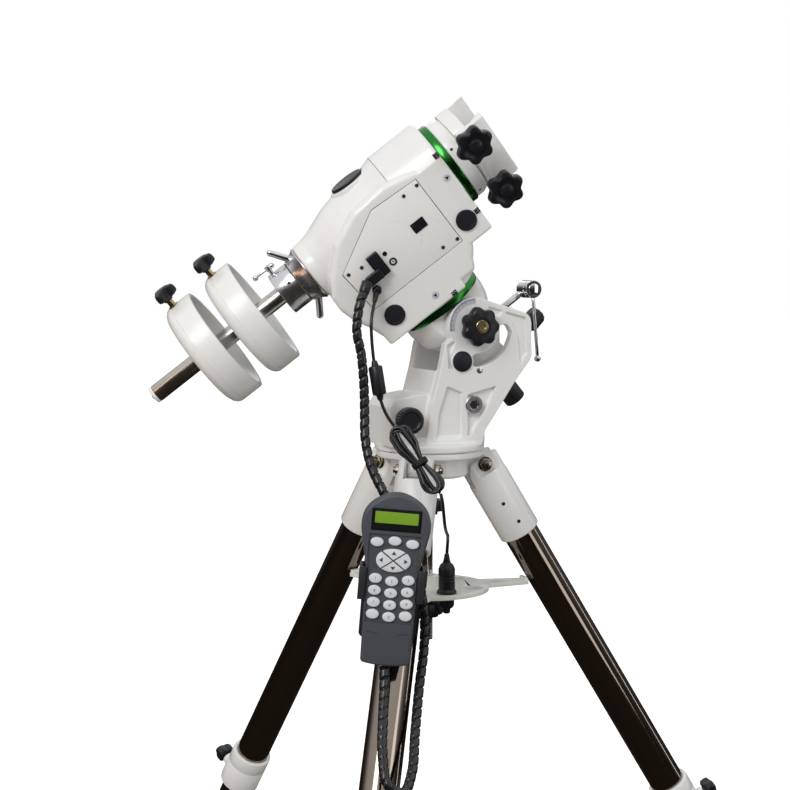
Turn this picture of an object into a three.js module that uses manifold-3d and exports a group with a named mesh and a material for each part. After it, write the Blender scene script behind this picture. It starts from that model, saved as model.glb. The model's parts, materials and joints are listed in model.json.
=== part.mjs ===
// German equatorial telescope mount on a three-leg field tripod, with two counterweights,
// a dovetail saddle, a corded hand controller and a tied-up power lead.
//
// Millimetres, +Z up, floor at Z = 0. North, where the polar axis points, is -X.
// Nested groups follow the real axes: azimuth, altitude, polar (RA) axis, declination axis.

import * as THREE from 'three';
import { mergeVertices } from 'three/addons/utils/BufferGeometryUtils.js';
import Module from 'manifold-3d';

const wasm = await Module();
wasm.setup();

// ------------------------------------------------------------------ driving dimensions

const DEGREE = Math.PI / 180;
const GAP = 0.3; // clearance between pieces that touch

const LATITUDE = 50; // polar axis above the horizon, degrees
const HOUR_TURN = -16.4; // declination body round the polar axis, degrees
const SADDLE_TURN = 15; // saddle round the declination axis, degrees

const HEAD_TOP = 850; // tripod head's top face, on which the mount turns
const PIVOT_X = 43.5; // altitude pivot, south of the azimuth axis
const PIVOT_Z = 1023;
const AXES_CROSSING = 190; // polar axis, from the altitude pivot to the declination axis

const LEG_TURNS = [-124, -4, 116]; // each leg round the azimuth axis, degrees
const LEG_SPLAY = 31.5; // leg from the vertical, degrees
const LEG_PIVOT_RADIUS = 75;
const LEG_PIVOT_Z = 828;
const LEG_TUBE_RADIUS = 25.4;
const LEG_LENGTH = LEG_PIVOT_Z / Math.cos(LEG_SPLAY * DEGREE);

const SHAFT_RADIUS = 12.5; // counterweight shaft
const AXLE_RADIUS = 22; // hollow declination axle
const RING_RADIUS = 62; // green setting rings
const WEIGHT_RADIUS = 81;
const WEIGHT_THICKNESS = 46;
const WEIGHT_FACES = [-198, -265]; // upper face of each counterweight along the axis

// Where the middle of the model's footprint is carried to, so that it stands on the origin.
const FOOTPRINT_SHIFT = [-111, -20.4, 0];

// ------------------------------------------------------------------ finishes

const finish = (color, roughness, metalness = 0) => (
  new THREE.MeshStandardMaterial({ color, roughness, metalness })
);
const WHITE = finish(0xdcdcd9, 0.32);
const TRAY_WHITE = finish(0xd6d8cf, 0.4);
const GREEN = finish(0x1f7020, 0.3, 0.9);
const STEEL = finish(0xb9b7ae, 0.25, 1);
const SATIN = finish(0xa9a8ad, 0.35, 1);
const CHROME = finish(0xd8d8d8, 0.12, 1);
const BLACK = finish(0x0b0c0e, 0.4);
const RUBBER = finish(0x141416, 0.8);
const GREY = finish(0x4a4c54, 0.5);
const KEY = finish(0xe4e6ea, 0.5);

// ------------------------------------------------------------------ shape helpers

// A closed geometry as a manifold solid, with shared corners merged and slivers left out.
function toSolid(geometry) {
  const bare = geometry.clone();
  bare.deleteAttribute('normal');
  bare.deleteAttribute('uv');
  const merged = mergeVertices(bare, 1e-3);
  const corners = merged.index.array;
  const kept = [];
  for (let i = 0; i < corners.length; i += 3) {
    const [a, b, c] = [corners[i], corners[i + 1], corners[i + 2]];
    if (a !== b && b !== c && c !== a) kept.push(a, b, c);
  }
  const triVerts = new Uint32Array(kept);
  const vertProperties = merged.attributes.position.array;
  const made = new wasm.Manifold(new wasm.Mesh({ numProp: 3, vertProperties, triVerts }));
  if (made.volume() > 0) return made;
  triVerts.reverse();
  return new wasm.Manifold(new wasm.Mesh({ numProp: 3, vertProperties, triVerts }));
}

function fromSolid(made) {
  const mesh = made.getMesh();
  const geometry = new THREE.BufferGeometry();
  geometry.setAttribute('position', new THREE.BufferAttribute(mesh.vertProperties, 3));
  geometry.setIndex(new THREE.BufferAttribute(mesh.triVerts, 1));
  return geometry;
}

function join(...pieces) {
  return fromSolid(pieces.map(toSolid).reduce((all, next) => all.add(next)));
}

function cut(body, ...tools) {
  return fromSolid(tools.map(toSolid).reduce((left, tool) => left.subtract(tool), toSolid(body)));
}

function common(...pieces) {
  return fromSolid(pieces.map(toSolid).reduce((all, next) => all.intersect(next)));
}

function box(x0, x1, y0, y1, z0, z1) {
  const geometry = new THREE.BoxGeometry(x1 - x0, y1 - y0, z1 - z0);
  return geometry.translate((x0 + x1) / 2, (y0 + y1) / 2, (z0 + z1) / 2);
}

// Round bar or cone along +Z between two heights.
function bar(radius, z0, z1, segments = 14, topRadius = radius) {
  const geometry = new THREE.CylinderGeometry(topRadius, radius, z1 - z0, segments);
  return geometry.rotateX(Math.PI / 2).translate(0, 0, (z0 + z1) / 2);
}

// Solid of revolution round Z from [radius, height] pairs that start and end on the axis
// or close on themselves.
function turned(profile, segments = 24) {
  const points = profile.map(([radius, height]) => new THREE.Vector2(radius, height));
  return new THREE.LatheGeometry(points, segments).rotateX(Math.PI / 2);
}

// Ring or tube round Z.
function ring(inner, outer, z0, z1, segments = 28) {
  return turned([[inner, z0], [outer, z0], [outer, z1], [inner, z1], [inner, z0]], segments);
}

const toX = (geometry) => geometry.rotateY(Math.PI / 2);
const toY = (geometry) => geometry.rotateX(-Math.PI / 2);
const polygon = (points) => new THREE.Shape(points.map(([x, y]) => new THREE.Vector2(x, y)));

// Outline pushed along Z, with its edges rounded by `bevel` inside the given size.
function slab(shape, z0, z1, bevel = 0, bevelSegments = 1, curveSegments = 4) {
  const geometry = new THREE.ExtrudeGeometry(shape, {
    depth: z1 - z0 - 2 * bevel,
    bevelEnabled: bevel > 0,
    bevelThickness: bevel,
    bevelSize: bevel,
    bevelOffset: -bevel,
    bevelSegments,
    curveSegments,
  });
  return geometry.translate(0, 0, z0 + bevel);
}

// Outline in the X-Z plane given a thickness along Y.
function upright(shape, y0, y1, bevel = 0, bevelSegments = 1, curveSegments = 4) {
  return slab(shape, -y1, -y0, bevel, bevelSegments, curveSegments).rotateX(Math.PI / 2);
}

// Rounded rectangle centred at (x, y).
function roundedRectangle(width, height, radius, x = 0, y = 0) {
  const shape = new THREE.Shape();
  const [w, h] = [width / 2, height / 2];
  shape.moveTo(x - w + radius, y - h);
  shape.lineTo(x + w - radius, y - h);
  shape.absarc(x + w - radius, y - h + radius, radius, -Math.PI / 2, 0);
  shape.lineTo(x + w, y + h - radius);
  shape.absarc(x + w - radius, y + h - radius, radius, 0, Math.PI / 2);
  shape.lineTo(x - w + radius, y + h);
  shape.absarc(x - w + radius, y + h - radius, radius, Math.PI / 2, Math.PI);
  shape.lineTo(x - w, y - h + radius);
  shape.absarc(x - w + radius, y - h + radius, radius, Math.PI, 1.5 * Math.PI);
  return shape;
}

// Long outline with round ends, centred, its length along X.
function stadium(length, width, steps = 7) {
  const points = [];
  for (const side of [1, -1]) {
    for (let i = 0; i <= steps; i += 1) {
      const turn = (i / steps - 0.5) * Math.PI;
      const reach = length / 2 - width / 2 + (width / 2) * Math.cos(turn);
      points.push([side * reach, (side * width * Math.sin(turn)) / 2]);
    }
  }
  return polygon(points);
}

// Hand-knob outline: `lobes` rounded points with hollows between them.
function lobedOutline(radius, lobes, depth, steps) {
  const points = [];
  for (let i = 0; i < lobes * steps; i += 1) {
    const turn = (i / (lobes * steps)) * 2 * Math.PI;
    const r = radius - depth * (0.5 - 0.5 * Math.cos(lobes * turn)) ** 1.3;
    points.push([r * Math.cos(turn), r * Math.sin(turn)]);
  }
  return polygon(points);
}

// Hand knob along +Z on a threaded stem: grip from z0 to z1, stem from `tip` up into it.
function lobedKnob({ radius, lobes, depth, z0, z1, hub, stem, tip, steps = 3 }) {
  const grip = slab(lobedOutline(radius, lobes, depth, steps), z0, z1, 2.5);
  const neck = bar(hub, z0 - 5, z0 + 3, 16);
  const rod = bar(stem, tip, z0, 12);
  return join(grip, neck, rod);
}

// Round tube of `radius` along a smooth curve through the points.
function cordTube(points, radius, sides, steps) {
  const curve = new THREE.CatmullRomCurve3(points.map((p) => new THREE.Vector3(...p)));
  const section = new THREE.Shape();
  for (let i = 0; i < sides; i += 1) {
    const turn = (i / sides) * 2 * Math.PI;
    const corner = [radius * Math.cos(turn), radius * Math.sin(turn)];
    if (i === 0) section.moveTo(...corner);
    else section.lineTo(...corner);
  }
  return new THREE.ExtrudeGeometry(section, { steps, extrudePath: curve, bevelEnabled: false });
}

// ------------------------------------------------------------------ scene graph

const mount = new THREE.Group();
mount.position.set(...FOOTPRINT_SHIFT);

function group(parent, x = 0, y = 0, z = 0) {
  const made = new THREE.Group();
  made.position.set(x, y, z);
  parent.add(made);
  return made;
}

// A named sub-part; a mirrored shape is turned to face out on the way.
function piece(parent, name, geometry, material) {
  const made = new THREE.Mesh(fromSolid(toSolid(geometry)), material);
  made.name = name;
  parent.add(made);
  return made;
}

// ------------------------------------------------------------------ tripod

const HEAD_UNDERSIDE = 812;
const LUG_HALF = 13; // half width of a head lug
const LUG_EYE = 12; // rounded end of a lug and of the ears beside it
const ROD_RADIUS = 5;
const ROD_BOTTOM = 578;
const PEG_RADIUS = 5.5;
const PEG_X = -57; // azimuth peg, north of the axis
const TRAY_HOLE_RADIUS = 64; // accessory holes round the central rod

function tripodHead() {
  const body = turned([
    [0, HEAD_UNDERSIDE], [50, HEAD_UNDERSIDE], [54, HEAD_UNDERSIDE + 4], [54, 840.5],
    [73, 840.5], [74, 842], [74, HEAD_TOP - 1], [73, HEAD_TOP], [0, HEAD_TOP],
  ]);
  const lugs = LEG_TURNS.map((turn) => {
    const arm = box(30, LEG_PIVOT_RADIUS, -LUG_HALF, LUG_HALF, 814, 844);
    const eye = toY(bar(LUG_EYE, -LUG_HALF, LUG_HALF, 18)).translate(LEG_PIVOT_RADIUS, 0, LEG_PIVOT_Z);
    return join(arm, eye).rotateZ(turn * DEGREE);
  });
  const rodHole = bar(ROD_RADIUS + 0.6, HEAD_UNDERSIDE - 1, 841, 16);
  const pegHole = bar(PEG_RADIUS + GAP, 840, HEAD_TOP + 1, 16).translate(PEG_X, 0, 0);
  return cut(join(body, ...lugs), rodHole, pegHole);
}

function spreaderTray() {
  const tray = group(mount);
  const [top, bottom] = [656, 650];
  const reach = 147;
  const arms = LEG_TURNS.map((turn) => {
    const arm = polygon([[20, -34], [80, -20], [reach, -11], [reach, 11], [80, 20], [20, 34]]);
    return slab(arm, bottom, top).rotateZ(turn * DEGREE);
  });
  const lips = LEG_TURNS.map((turn) => (
    box(reach - 6, reach - 1, -10, 10, bottom, top + 4).rotateZ(turn * DEGREE)
  ));
  const plate = turned([[0, bottom], [85, bottom], [85, top - 1], [84, top], [0, top]], 30);
  const hub = bar(15, bottom - 12, top + 14, 16);
  const holes = [];
  for (const turn of LEG_TURNS) {
    const place = (geometry, angle, radius) => (
      geometry.translate(radius, 0, 0).rotateZ((turn + angle) * DEGREE)
    );
    holes.push(place(bar(9, bottom - 1, top + 1, 12), 0, 104));
    holes.push(place(bar(13, bottom - 1, top + 1, 12), 34, TRAY_HOLE_RADIUS));
    holes.push(place(bar(13, bottom - 1, top + 1, 12), -34, TRAY_HOLE_RADIUS));
  }
  const bore = bar(ROD_RADIUS + 0.6, bottom - 13, top + 15, 16);
  piece(tray, 'spreader_tray', cut(join(plate, hub, ...arms, ...lips), ...holes, bore), TRAY_WHITE);
  const nutTop = bottom - 12 - GAP;
  const nut = lobedKnob({
    radius: 23, lobes: 6, depth: 3.5, z0: nutTop - 22, z1: nutTop - 6, hub: 14, stem: 14, tip: nutTop - 27,
  });
  const collar = bar(13, nutTop - 8, nutTop, 16);
  const nutBore = bar(ROD_RADIUS + 0.5, nutTop - 40, nutTop + 1, 16);
  piece(tray, 'tray_nut', cut(join(nut, collar), nutBore), BLACK);
}

function centralRod() {
  piece(mount, 'central_rod', bar(ROD_RADIUS, ROD_BOTTOM, 840, 16), CHROME);
  const knob = lobedKnob({
    radius: 22.5, lobes: 7, depth: 3, z0: 762, z1: 778, hub: 12, stem: 12, tip: 757,
  });
  const collar = bar(11, 775, 806, 16);
  const bore = bar(ROD_RADIUS + 0.5, 750, 810, 16);
  piece(mount, 'rod_knob', cut(join(knob, collar), bore), BLACK);
}

// One leg in its own frame: origin at the hinge pin, the tube running down -Z.
function leg(number, turn) {
  const spoke = group(mount, 0, 0, 0);
  spoke.rotation.z = turn * DEGREE;
  const frame = group(spoke, LEG_PIVOT_RADIUS, 0, LEG_PIVOT_Z);
  frame.rotation.y = -LEG_SPLAY * DEGREE;

  const earInner = LUG_HALF + 0.4;
  const ear = (y0, y1) => {
    const eye = toY(bar(LUG_EYE, y0, y1, 18));
    const cheek = box(-LUG_EYE, LUG_EYE, y0, y1, -30, 0);
    return join(eye, cheek);
  };
  const sleeve = turned([
    [0, -24], [23, -24], [28, -26], [30, -30], [30, -118], [29.4, -119],
    [LEG_TUBE_RADIUS + GAP, -119], [LEG_TUBE_RADIUS + GAP, -36], [0, -36],
  ]);
  const lugRoom = box(-40, 20, -earInner, earInner, -25.5, 16);
  const socket = cut(join(sleeve, ear(earInner, 23), ear(-23, -earInner)), lugRoom);
  piece(frame, `leg_socket_${number}`, socket, WHITE);

  const tubeEnd = -620;
  const tube = ring(LEG_TUBE_RADIUS - 1.6, LEG_TUBE_RADIUS, tubeEnd, -36 - GAP);
  piece(frame, `leg_tube_${number}`, tube, STEEL);

  const clampBody = turned([
    [LEG_TUBE_RADIUS + GAP, -578], [29.5, -578], [31, -580], [31, -640], [29, -643], [22.6, -643],
    [22.6, tubeEnd - GAP], [LEG_TUBE_RADIUS + GAP, tubeEnd - GAP], [LEG_TUBE_RADIUS + GAP, -578],
  ]);
  const boss = toX(bar(9, 29, 40, 20)).translate(0, 0, -628);
  piece(frame, `leg_clamp_${number}`, join(clampBody, boss), WHITE);

  const innerTube = ring(20.4, 22, 50 - LEG_LENGTH, -230, 16);
  piece(frame, `leg_extension_${number}`, innerTube, STEEL);
  const plug = bar(20, 46 - LEG_LENGTH, 90 - LEG_LENGTH, 32);
  const cup = turned([
    [0, -6 - LEG_LENGTH], [15, -6 - LEG_LENGTH], [22, 22 - LEG_LENGTH], [24.5, 38 - LEG_LENGTH],
    [24.5, 50 - GAP - LEG_LENGTH], [0, 50 - GAP - LEG_LENGTH],
  ], 18);
  const foot = join(cup, plug);
  // The foot is worn flat along the floor, which meets the leg at its splay.
  const floor = box(-80, 80, -80, 80, -60, 0).rotateY(LEG_SPLAY * DEGREE);
  floor.translate(0, 0, -LEG_LENGTH);
  piece(frame, `foot_${number}`, cut(foot, floor), RUBBER);
  return [frame, spoke];
}

// ------------------------------------------------------------------ azimuth fork

const PLATE_OUTER = 60; // outer face of a fork side plate, from the middle
const PLATE_INNER = 45;
const BOSS_RADIUS = 40; // fork plate round the altitude pivot
const FORK_FOOT = HEAD_TOP + GAP;

function forkOutline() {
  const shape = new THREE.Shape();
  shape.moveTo(-30, 858);
  shape.lineTo(-21, 916);
  shape.lineTo(-8, 964);
  shape.lineTo(-1, 1000);
  shape.absarc(PIVOT_X, PIVOT_Z, BOSS_RADIUS, 205 * DEGREE, 62 * DEGREE, true);
  shape.lineTo(118, 1042);
  shape.quadraticCurveTo(128, 1038, 129, 1027);
  shape.lineTo(130, 984);
  shape.quadraticCurveTo(130, 978, 126, 973);
  shape.lineTo(104, 945);
  shape.lineTo(84, 915);
  shape.lineTo(60, 880);
  shape.lineTo(54, 858);
  return shape;
}

// Slot that follows an arc round the altitude pivot.
function arcSlot(inner, outer, from, to) {
  const shape = new THREE.Shape();
  const middle = (inner + outer) / 2;
  const half = (outer - inner) / 2;
  const end = (angle) => [
    PIVOT_X + middle * Math.cos(angle * DEGREE), PIVOT_Z + middle * Math.sin(angle * DEGREE),
  ];
  shape.absarc(PIVOT_X, PIVOT_Z, outer, from * DEGREE, to * DEGREE, false);
  shape.absarc(...end(to), half, to * DEGREE, (to + 180) * DEGREE, false);
  shape.absarc(PIVOT_X, PIVOT_Z, inner, to * DEGREE, from * DEGREE, true);
  shape.absarc(...end(from), half, (from + 180) * DEGREE, (from + 360) * DEGREE, false);
  return shape;
}

// One side plate with its recessed pockets, outer face towards -Y.
function sidePlate() {
  const plate = upright(forkOutline(), -PLATE_OUTER, -PLATE_INNER, 0, 1, 5);
  const recess = (points, depth) => (
    upright(polygon(points), -PLATE_OUTER - 1, -PLATE_OUTER + depth)
  );
  const pockets = [
    recess([[2, 941], [24, 932], [24, 868], [-14, 868], [-10, 905]], 5),
    recess([[33, 929], [76, 940], [62, 912], [36, 872], [33, 872]], 6),
    recess([[88, 1043], [120, 1034], [122, 985], [112, 970], [108, 1008], [98, 1030]], 4),
    recess([[62, 1050], [84, 1044], [80, 1036], [66, 1040]], 3),
    recess([[2, 997], [14, 1003], [8, 985], [14, 962], [4, 966]], 4),
  ];
  const slot = upright(arcSlot(38, 56, -86, -8), -PLATE_OUTER - 1, -PLATE_INNER + 1, 0, 1, 5);
  return cut(plate, ...pockets, slot);
}

function forkBase() {
  const near = sidePlate();
  const far = sidePlate().scale(1, -1, 1);
  const flange = turned([
    [0, FORK_FOOT], [77, FORK_FOOT], [77, 860], [75, 862], [0, 862],
  ], 30);
  const northWall = upright(
    polygon([[-32, 860], [-22.5, 916], [-10, 962], [-5, 962], [-8, 940], [-12, 900], [-16, 860]]),
    -PLATE_INNER - 2, PLATE_INNER + 2,
  );
  const pedestal = join(
    slab(roundedRectangle(112, 116, 14, 8, 0), 860, 872, 0, 1, 3),
    bar(60, 858, 868, 24, 54),
  );
  const block = upright(
    polygon([[-76, 858], [-76, 912], [-68, 924], [-30, 930], [-20, 930], [-20, 858]]),
    -PLATE_INNER, PLATE_INNER, 2, 1,
  );
  const pegRoom = box(-70, -42, -32, 32, 840, 912);
  const screwHoles = toY(bar(4.4, -50, 50, 16)).translate(PEG_X, 0, 897);
  const threadBar = toY(bar(9.5, -PLATE_INNER - 2, PLATE_INNER + 2, 18)).translate(101.7, 0, 1039.4);
  const pivotHole = toY(bar(8.4, -70, 70, 20)).translate(PIVOT_X, 0, PIVOT_Z);
  const altitudeHole = altitudeRod(5.2, -90, 16);
  return cut(
    join(near, far, flange, northWall, pedestal, block, threadBar),
    pegRoom, screwHoles, pivotHole, altitudeHole,
  );
}

// The altitude screw lies in the middle plane, its hub above the fork's south edge.
const SCREW_HUB = [148.6, 0, 1073.5];
const SCREW_SLOPE = 54; // turns a +Z bar to point down into the fork, degrees

function altitudeRod(radius, z0, z1) {
  const rod = bar(radius, z0, z1, 16);
  return rod.rotateY(SCREW_SLOPE * DEGREE).translate(...SCREW_HUB);
}

// Threaded rod with a round cross hub, whose far end carries the handle.
function altitudeScrew() {
  const rod = altitudeRod(4.75, -68, -4);
  const hub = toY(bar(12.5, -17.6, 6, 36)).translate(SCREW_HUB[0], 0, SCREW_HUB[2]);
  const neck = toY(bar(8, -28, -17, 28)).translate(SCREW_HUB[0], 0, SCREW_HUB[2]);
  return join(rod, hub, neck);
}

// Thin tommy bar that hangs from an eye round the hub's neck and folds up for turning.
function altitudeHandle() {
  const eye = toY(ring(8.4, 12.5, -26.5, -18, 18));
  const reach = 96;
  const rod = bar(2.4, -reach, -11.5, 14);
  const ball = new THREE.SphereGeometry(4.75, 12, 8).translate(0, 0, -reach - 3);
  rod.translate(0, -22, 0);
  ball.translate(0, -22, 0);
  const swing = join(eye, rod, ball).rotateY(-5 * DEGREE);
  return swing.translate(SCREW_HUB[0], 0, SCREW_HUB[2]);
}

function azimuthScrew(side) {
  const rod = bar(4, PEG_RADIUS + 0.9, 62, 16);
  const knob = [];
  const ridges = 12;
  for (let i = 0; i < ridges * 2; i += 1) {
    const turn = (i / (ridges * 2)) * 2 * Math.PI;
    const r = i % 2 ? 18.5 : 17.6;
    knob.push([r * Math.cos(turn), r * Math.sin(turn)]);
  }
  const grip = slab(polygon(knob), 60, 78, 1.2, 1);
  const dish = bar(10.5, 76, 79, 20, 12.5);
  return toY(cut(join(rod, grip), dish)).scale(1, side, 1).translate(PEG_X, 0, 897);
}

// ------------------------------------------------------------------ altitude body

const RING_FOOT = 42; // polar ring's lower face above the altitude pivot, along the polar axis
const HOUSING_HALF = 44.2; // polar housing between the fork plates

function polarHousing() {
  const neck = turned([
    [0, -104], [26, -104], [29, -101], [31, -66], [39, -52], [39, 10], [0, 10],
  ], 16);
  const belly = turned([
    [0, -14], [30, -14], [46, -8], [56, 4], [60, 18], [62, 30], [62, RING_FOOT - GAP],
    [0, RING_FOOT - GAP],
  ], 30);
  const cheeks = toY(bar(36, -HOUSING_HALF, HOUSING_HALF, 24));
  // The south side stays inside what the altitude screw and its cross bar leave free.
  const envelope = upright(polygon([
    [-80, RING_FOOT], [-80, -120], [31, -120], [31, -66], [21, -46], [26, -36], [34, -20], [34, -2],
    [48, 8], [62, 25], [80, RING_FOOT],
  ]), -HOUSING_HALF, HOUSING_HALF);
  const outer = common(join(neck, belly, cheeks), envelope);
  const bore = bar(31, 12, RING_FOOT + 1, 16);
  const pivotBore = toY(bar(8.4, -50, 50, 20));
  const scopeBore = bar(14, -105, -84, 16);
  const clutchBore = toX(bar(5.4, 24, 60, 16)).rotateZ(CLUTCH_TURN * DEGREE).translate(0, 0, CLUTCH_T);
  return cut(outer, bore, pivotBore, scopeBore, clutchBore);
}

const CLUTCH_TURN = 20; // RA clutch stalk round the polar axis, degrees
const CLUTCH_T = -83; // and along it, from the altitude pivot

function raClutchKnob() {
  const points = [];
  const ridges = 12;
  for (let i = 0; i < ridges * 2; i += 1) {
    const turn = (i / (ridges * 2)) * 2 * Math.PI;
    const r = i % 2 ? 14 : 13.1;
    points.push([r * Math.cos(turn), r * Math.sin(turn)]);
  }
  const grip = slab(polygon(points), 103, 126, 1.2, 1);
  const stem = bar(5, 26, 104, 16);
  const collar = bar(8.5, 90, 105, 16);
  return toX(join(grip, stem, collar)).rotateZ(CLUTCH_TURN * DEGREE).translate(0, 0, CLUTCH_T);
}

// Altitude lock: a seven-lobe knob on a stud through the fork plate, in the pivot's line.
function altitudeLock(side) {
  const knob = lobedKnob({
    radius: 27.5, lobes: 7, depth: 4.2, z0: 66.5, z1: 84, hub: 15, stem: 8, tip: 26, steps: 4,
  });
  const brassSeat = bar(9.3, 82.4, 85, 16);
  return toY(cut(knob, brassSeat)).scale(1, side, 1).translate(PIVOT_X, 0, PIVOT_Z);
}

// ------------------------------------------------------------------ RA body
// Local frame: origin where the axes cross, +X to the saddle, +Z up the polar axis,
// -Y the face with the panel.

const HOUSING_DEPTH = 70; // half thickness of the main housing
const DRUM_RADIUS = 74;
const HOUSING_FOOT = RING_FOOT + 11 + GAP - AXES_CROSSING; // underside, just above the green ring
const SADDLE_END = 117.6;
const SHAFT_END = -116;

const PANEL = [[73, 25], [1, 29], [-82, -16], [-77.5, -80.5], [73.5, -80.5]];
const PANEL_FACE = -HOUSING_DEPTH;
const PANEL_THICKNESS = 2;
const SWITCH = { x: 39.5, z: -26.6, width: 17, height: 11 };

// The same outline moved in or out by `amount` from its middle.
function offsetOutline(points, amount) {
  const middleX = points.reduce((sum, p) => sum + p[0], 0) / points.length;
  const middleZ = points.reduce((sum, p) => sum + p[1], 0) / points.length;
  return polygon(points.map(([x, z]) => {
    const [dx, dz] = [x - middleX, z - middleZ];
    const stretch = 1 + amount / Math.hypot(dx, dz);
    return [middleX + dx * stretch, middleZ + dz * stretch];
  }));
}

function decHousing() {
  const bell = toX(turned([
    [0, SHAFT_END], [41, SHAFT_END], [41.6, -112], [42.5, -100], [46, -86], [52, -70], [58.5, -52],
    [63, -32], [65.5, -8], [67, 14], [70, 28], [DRUM_RADIUS, 42], [DRUM_RADIUS, SADDLE_END - 3],
    [DRUM_RADIUS - 2, SADDLE_END], [0, SADDLE_END],
  ], 24));
  const bellSlice = common(bell, box(-130, 130, -HOUSING_DEPTH + 1, HOUSING_DEPTH - 1, -80, 80));
  const body = upright(polygon([
    [84, 34], [30, 46], [-20, 42], [-66, 22], [-100, -12], [-113, -34], [-114, -55], [-109, -74],
    [-98, -98], [-88, -126], [64, -126], [70, -112], [84, -94],
  ]), -HOUSING_DEPTH, HOUSING_DEPTH, 9, 2);
  const southBlock = upright(
    polygon([[60, 30], [SADDLE_END - 1, 30], [SADDLE_END - 1, -92], [60, -92]]),
    -HOUSING_DEPTH, HOUSING_DEPTH, 3, 1,
  );
  const northBlock = upright(
    polygon([[-89, HOUSING_FOOT + 2], [-91, -100], [-40, -92], [40, -92], [40, HOUSING_FOOT + 2]]),
    -HOUSING_DEPTH, HOUSING_DEPTH, 3, 1,
  );
  const drum = turned([
    [0, HOUSING_FOOT], [64, HOUSING_FOOT], [66, HOUSING_FOOT + 2], [69, HOUSING_FOOT + 14],
    [69, -80], [0, -80],
  ], 36);
  const stubAxle = bar(30, RING_FOOT - 28 - AXES_CROSSING, HOUSING_FOOT + 1, 16);
  const polarBoss = bar(31, 30, 66, 48, 29);
  const whole = join(bellSlice, body, southBlock, northBlock, drum, stubAxle, polarBoss);
  const decBore = toX(bar(AXLE_RADIUS + 0.7, SHAFT_END - 1, SADDLE_END + 1, 24));
  const capSeat = join(bar(20, 60, 67, 24), bar(27, 66, 80, 24));
  const panelSeat = upright(offsetOutline(PANEL, 0.6), -HOUSING_DEPTH - 1, -HOUSING_DEPTH + 2.4);
  const switchWell = box(
    SWITCH.x - SWITCH.width / 2 - GAP, SWITCH.x + SWITCH.width / 2 + GAP,
    -HOUSING_DEPTH, -HOUSING_DEPTH + 12,
    SWITCH.z - SWITCH.height / 2 - GAP, SWITCH.z + SWITCH.height / 2 + GAP,
  );
  return cut(whole, decBore, capSeat, panelSeat, switchWell);
}

function controlPanel() {
  const plate = upright(offsetOutline(PANEL, -0.5), PANEL_FACE, PANEL_FACE + PANEL_THICKNESS);
  const window = box(
    SWITCH.x - SWITCH.width / 2 - GAP, SWITCH.x + SWITCH.width / 2 + GAP,
    PANEL_FACE - 1, PANEL_FACE + 5,
    SWITCH.z - SWITCH.height / 2 - GAP, SWITCH.z + SWITCH.height / 2 + GAP,
  );
  return cut(plate, window);
}

function polarCap() {
  const spigot = bar(19.6, 61, 67, 36);
  const lid = turned([[0, 66.4], [25, 66.4], [25, 69], [23, 70.5], [0, 70.5]], 16);
  return join(spigot, lid);
}

function powerSwitch() {
  const halfWidth = SWITCH.width / 2 - 0.4;
  const rocker = new THREE.Shape();
  rocker.moveTo(-halfWidth, 6);
  rocker.lineTo(-halfWidth, -1.2);
  rocker.lineTo(0, 0.8);
  rocker.lineTo(halfWidth, -1.2);
  rocker.lineTo(halfWidth, 6);
  rocker.lineTo(2, 8.5);
  rocker.lineTo(-2, 8.5);
  const height = SWITCH.height / 2 - 0.3;
  return slab(rocker, -height, height).translate(SWITCH.x, PANEL_FACE, SWITCH.z);
}

// ------------------------------------------------------------------ declination body
// Same axes as the RA body's frame, turned round +X by the saddle's turn.

const COLLAR_FOOT = 129.3;
const COLLAR_TOP = 148.6;
const AXLE_END = -136;

function decShaft() {
  const collar = toX(turned([
    [0, COLLAR_FOOT], [60, COLLAR_FOOT], [60, 141], [56, COLLAR_TOP], [0, COLLAR_TOP],
  ], 24));
  const axle = toX(bar(AXLE_RADIUS, AXLE_END, COLLAR_FOOT + 1, 24));
  const bore = toX(bar(SHAFT_RADIUS + 0.6, AXLE_END - 1, -60, 32));
  return cut(join(collar, axle), bore);
}

const SADDLE_HALF_LENGTH = 58;
const SADDLE_FLOOR = 168;
const SEAT_HEIGHT = 168.6; // raised land that the dovetail bar rests on, clear of both jaws
const CLAMP_SIDE = -38.7; // side of the base that the moving jaw closes against
const SADDLE_SCREW_X = 160;
const SADDLE_SCREW_Z = [40, -40];

function saddleBody() {
  const foot = COLLAR_TOP + GAP;
  const section = new THREE.Shape();
  // Y along the page, X up it: base plate with the fixed jaw on one side.
  section.moveTo(CLAMP_SIDE, foot);
  section.lineTo(40, foot);
  section.quadraticCurveTo(49, foot, 49, foot + 9);
  section.lineTo(49, 190);
  section.lineTo(46, 194.5);
  section.lineTo(27, 194.5);
  section.lineTo(37, 178);
  section.lineTo(37, SADDLE_FLOOR);
  section.lineTo(CLAMP_SIDE, SADDLE_FLOOR);
  const body = slab(section, -SADDLE_HALF_LENGTH, SADDLE_HALF_LENGTH, 0, 1, 5);
  // Page (Y, X) to the body's (X, Y): a turn that keeps the solid facing out.
  body.rotateZ(-Math.PI / 2).scale(1, -1, 1);
  const ends = toX(bar(61, foot - 1, 196, 56));
  const land = box(SADDLE_FLOOR - 1, SEAT_HEIGHT, -28, 25, 8 - SADDLE_HALF_LENGTH, SADDLE_HALF_LENGTH - 8);
  return cut(join(common(body, ends), land), ...saddleScrewHoles());
}

function saddleScrewHoles() {
  return SADDLE_SCREW_Z.map((z) => toY(bar(4.5, -60, -10, 16)).translate(SADDLE_SCREW_X, 0, z));
}

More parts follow.
